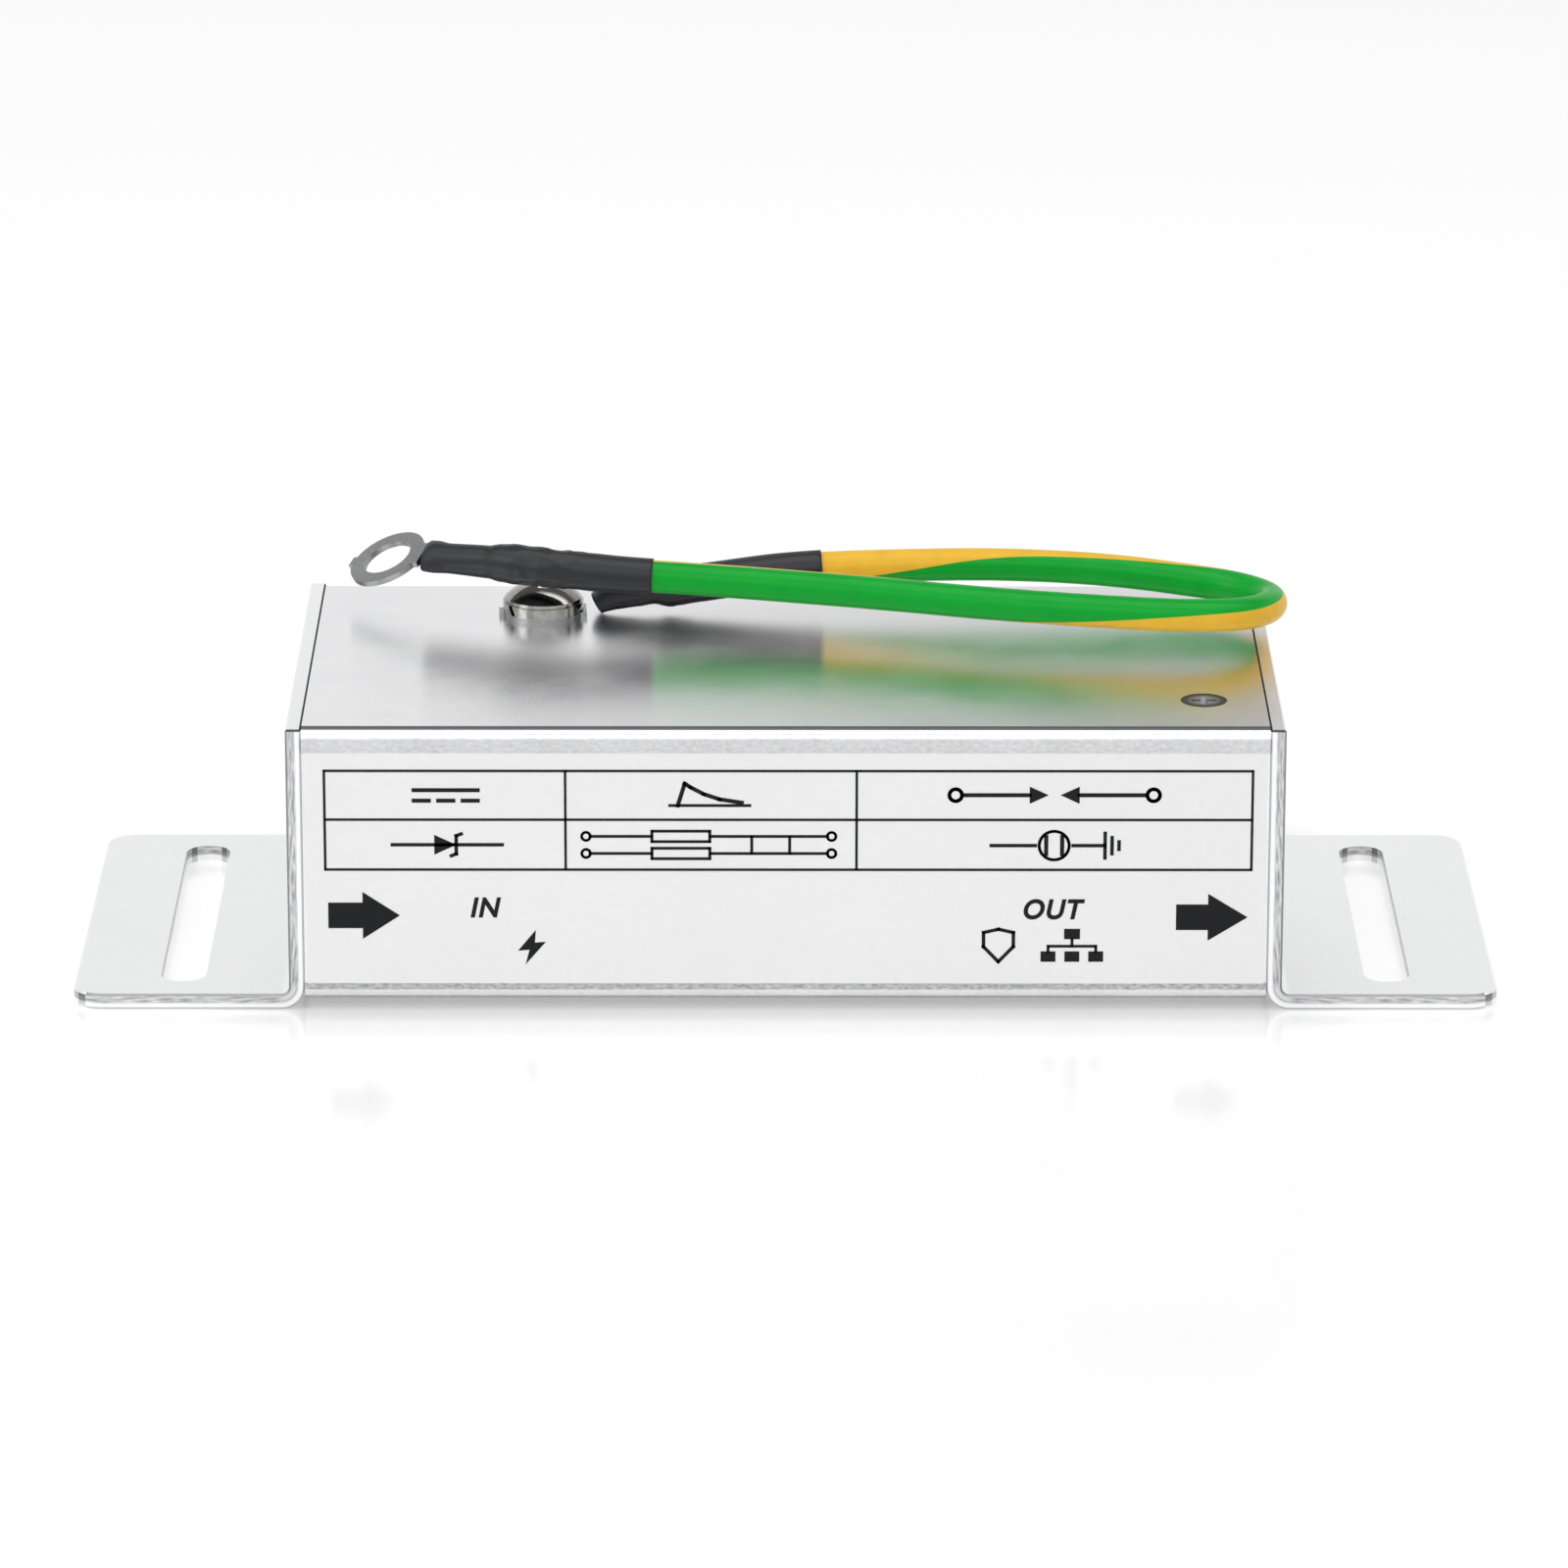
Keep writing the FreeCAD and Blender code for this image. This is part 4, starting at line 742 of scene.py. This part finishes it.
def seen_directly(material):
    """1 where a camera, glossy or transmission ray sees the material."""
    path = add_node(material, "ShaderNodeLightPath")
    seen = path.outputs["Is Camera Ray"]
    for kind in ("Is Glossy Ray", "Is Transmission Ray"):
        either = add_node(material, "ShaderNodeMath", {0: seen, 1: path.outputs[kind]}, operation="MAXIMUM")
        seen = either.outputs[0]
    return seen


# Matt white paint with a faint sheen shows as a plain white that mirrors the box's foot softly
floor_paint = bpy.data.materials.new("white_floor_paint")
floor_paint.use_nodes = True
floor_paint.node_tree.nodes.clear()
matt = add_node(floor_paint, "ShaderNodeBsdfDiffuse", {"Color": (0.85, 0.85, 0.85, 1)})
# A painted shadow darkens the floor softly over a centimetre where it meets the box
FOOT_EDGE = (tube_high.x + 0.0006, tube_high.y - 0.0005, 0)
CONTACT_REACH = 0.011
SHADOWED_GLOW, OPEN_GLOW = 0.85, 1.33
beside_box = add_node(floor_paint, "ShaderNodeVectorMath", {
    0: add_node(floor_paint, "ShaderNodeTexCoord").outputs["Object"]}, operation="ABSOLUTE")
beside_box = add_node(floor_paint, "ShaderNodeVectorMath", {
    0: beside_box.outputs[0], 1: FOOT_EDGE}, operation="SUBTRACT")
beside_box = add_node(floor_paint, "ShaderNodeVectorMath", {0: beside_box.outputs[0], 1: (0, 0, 0)},
                      operation="MAXIMUM")
beside_box = add_node(floor_paint, "ShaderNodeVectorMath", {0: beside_box.outputs[0]}, operation="LENGTH")
glow = add_node(floor_paint, "ShaderNodeMapRange", {
    "Value": beside_box.outputs["Value"], "From Max": CONTACT_REACH, "To Min": SHADOWED_GLOW,
    "To Max": OPEN_GLOW})
white = add_node(floor_paint, "ShaderNodeEmission", {"Color": (1, 1, 1, 1), "Strength": glow.outputs[0]})
shown = add_node(floor_paint, "ShaderNodeMixShader", {"Fac": 0.6, 1: white.outputs[0], 2: matt.outputs[0]})
sheen = add_node(floor_paint, "ShaderNodeBsdfGlossy", {"Color": (1, 1, 1, 1), "Roughness": 0.16})
shown = add_node(floor_paint, "ShaderNodeMixShader", {"Fac": 0.2, 1: shown.outputs[0], 2: sheen.outputs[0]})
floor_mix = add_node(floor_paint, "ShaderNodeMixShader", {
    "Fac": seen_directly(floor_paint), 1: matt.outputs[0], 2: shown.outputs[0]})
add_node(floor_paint, "ShaderNodeOutputMaterial", {"Surface": floor_mix.outputs[0]})
floor_shape = bmesh.new()
bmesh.ops.create_grid(floor_shape, x_segments=1, y_segments=1, size=4.0)
floor_mesh = bpy.data.meshes.new("floor")
floor_shape.to_mesh(floor_mesh)
floor_shape.free()
floor_mesh.materials.append(floor_paint)
floor = bpy.data.objects.new("floor", floor_mesh)
bpy.context.scene.collection.objects.link(floor)

# Two cards behind, seen only in reflections: a dark one high up draws the line along the lid's front
# edge, and a small one that fades from white to grey dims the right-hand half of the lid. Each has its
# half size, its lean in degrees, its place, and its brightness at the left and at the right.
FADE_START, FADE_END = -0.03, 0.035
for name, half_size, lean, place, tones in (
        ("dark_card", (0.9, 0.2), -36, (0, 0.47, 0.647), (0.2, 0.2)),
        ("grey_card", (0.045, 0.02), -90, (0.015, 0.06, 0.064), (1.0, 0.52))):
    card_paint = bpy.data.materials.new(name + "_paint")
    card_paint.use_nodes = True
    card_paint.node_tree.nodes.clear()
    card_place = add_node(card_paint, "ShaderNodeSeparateXYZ", {
        0: add_node(card_paint, "ShaderNodeTexCoord").outputs["Object"]})
    fade = add_node(card_paint, "ShaderNodeMapRange", {
        "Value": card_place.outputs["X"], "From Min": FADE_START, "From Max": FADE_END,
        "To Min": tones[0], "To Max": tones[1]})
    card_tone = add_node(card_paint, "ShaderNodeEmission", {
        "Color": (1, 1, 1, 1), "Strength": fade.outputs[0]})
    add_node(card_paint, "ShaderNodeOutputMaterial", {"Surface": card_tone.outputs[0]})
    card_shape = bmesh.new()
    bmesh.ops.create_grid(card_shape, x_segments=1, y_segments=1, size=1.0)
    bmesh.ops.scale(card_shape, vec=(*half_size, 1), verts=card_shape.verts)
    bmesh.ops.rotate(card_shape, matrix=Matrix.Rotation(math.radians(lean), 3, "X"), verts=card_shape.verts)
    bmesh.ops.translate(card_shape, vec=place, verts=card_shape.verts)
    card_mesh = bpy.data.meshes.new(name)
    card_shape.to_mesh(card_mesh)
    card_shape.free()
    card_mesh.materials.append(card_paint)
    card = bpy.data.objects.new(name, card_mesh)
    card.visible_camera = False
    card.visible_diffuse = False
    card.visible_shadow = False
    bpy.context.scene.collection.objects.link(card)

world = bpy.data.worlds.new("white_room")
world.use_nodes = True
world.node_tree.nodes.clear()
room_light = add_node(world, "ShaderNodeBackground", {"Color": (1, 1, 1, 1), "Strength": 0.5})
room_white = add_node(world, "ShaderNodeBackground", {"Color": (1, 1, 1, 1), "Strength": 1.0})
room = add_node(world, "ShaderNodeMixShader", {
    "Fac": seen_directly(world), 1: room_light.outputs[0], 2: room_white.outputs[0]})
add_node(world, "ShaderNodeOutputWorld", {"Surface": room.outputs[0]})
bpy.context.scene.world = world

# Each lamp has its place and size in metres and its power in watts, and looks at the box's middle
BOX_MIDDLE = Vector((0, 0, 0.015))
for name, place, size, power in (
        ("top_softbox", (0, -0.04, 0.75), (1.2, 0.55), 3.1),
        ("front_softbox", (0.05, -0.75, 0.60), (1.0, 0.35), 1.65),
        ("left_softbox", (-0.70, -0.35, 0.45), (0.35, 0.35), 1.2)):
    light = bpy.data.lights.new(name, "AREA")
    light.shape = "RECTANGLE"
    light.size, light.size_y = size
    light.energy = power
    lamp = bpy.data.objects.new(name, light)
    aim = BOX_MIDDLE - Vector(place)
    lamp.matrix_world = Matrix.Translation(place) @ aim.to_track_quat("-Z", "Y").to_matrix().to_4x4()
    lamp.visible_camera = False
    bpy.context.scene.collection.objects.link(lamp)

# The camera's place in metres, its focal length in millimetres and its turns in degrees
CAMERA_PLACE = (-0.0017555, -0.834493, 0.282781)
FOCAL_LENGTH = 195.011
HEADING, DOWNWARD, ROLL = -0.1121, 17.7568, 0.0624
lens = bpy.data.cameras.new("camera")
lens.sensor_fit = "HORIZONTAL"
lens.sensor_width = 36.0
lens.lens = FOCAL_LENGTH
lens.clip_start = 0.02
lens.clip_end = 20.0
camera = bpy.data.objects.new("camera", lens)
camera.matrix_world = (Matrix.Translation(CAMERA_PLACE)
                       @ Matrix.Rotation(math.radians(HEADING), 4, "Z")
                       @ Matrix.Rotation(math.radians(90 - DOWNWARD), 4, "X")
                       @ Matrix.Rotation(math.radians(ROLL), 4, "Z"))
bpy.context.scene.collection.objects.link(camera)
bpy.context.scene.camera = camera
bpy.context.scene.view_settings.view_transform = "Standard"
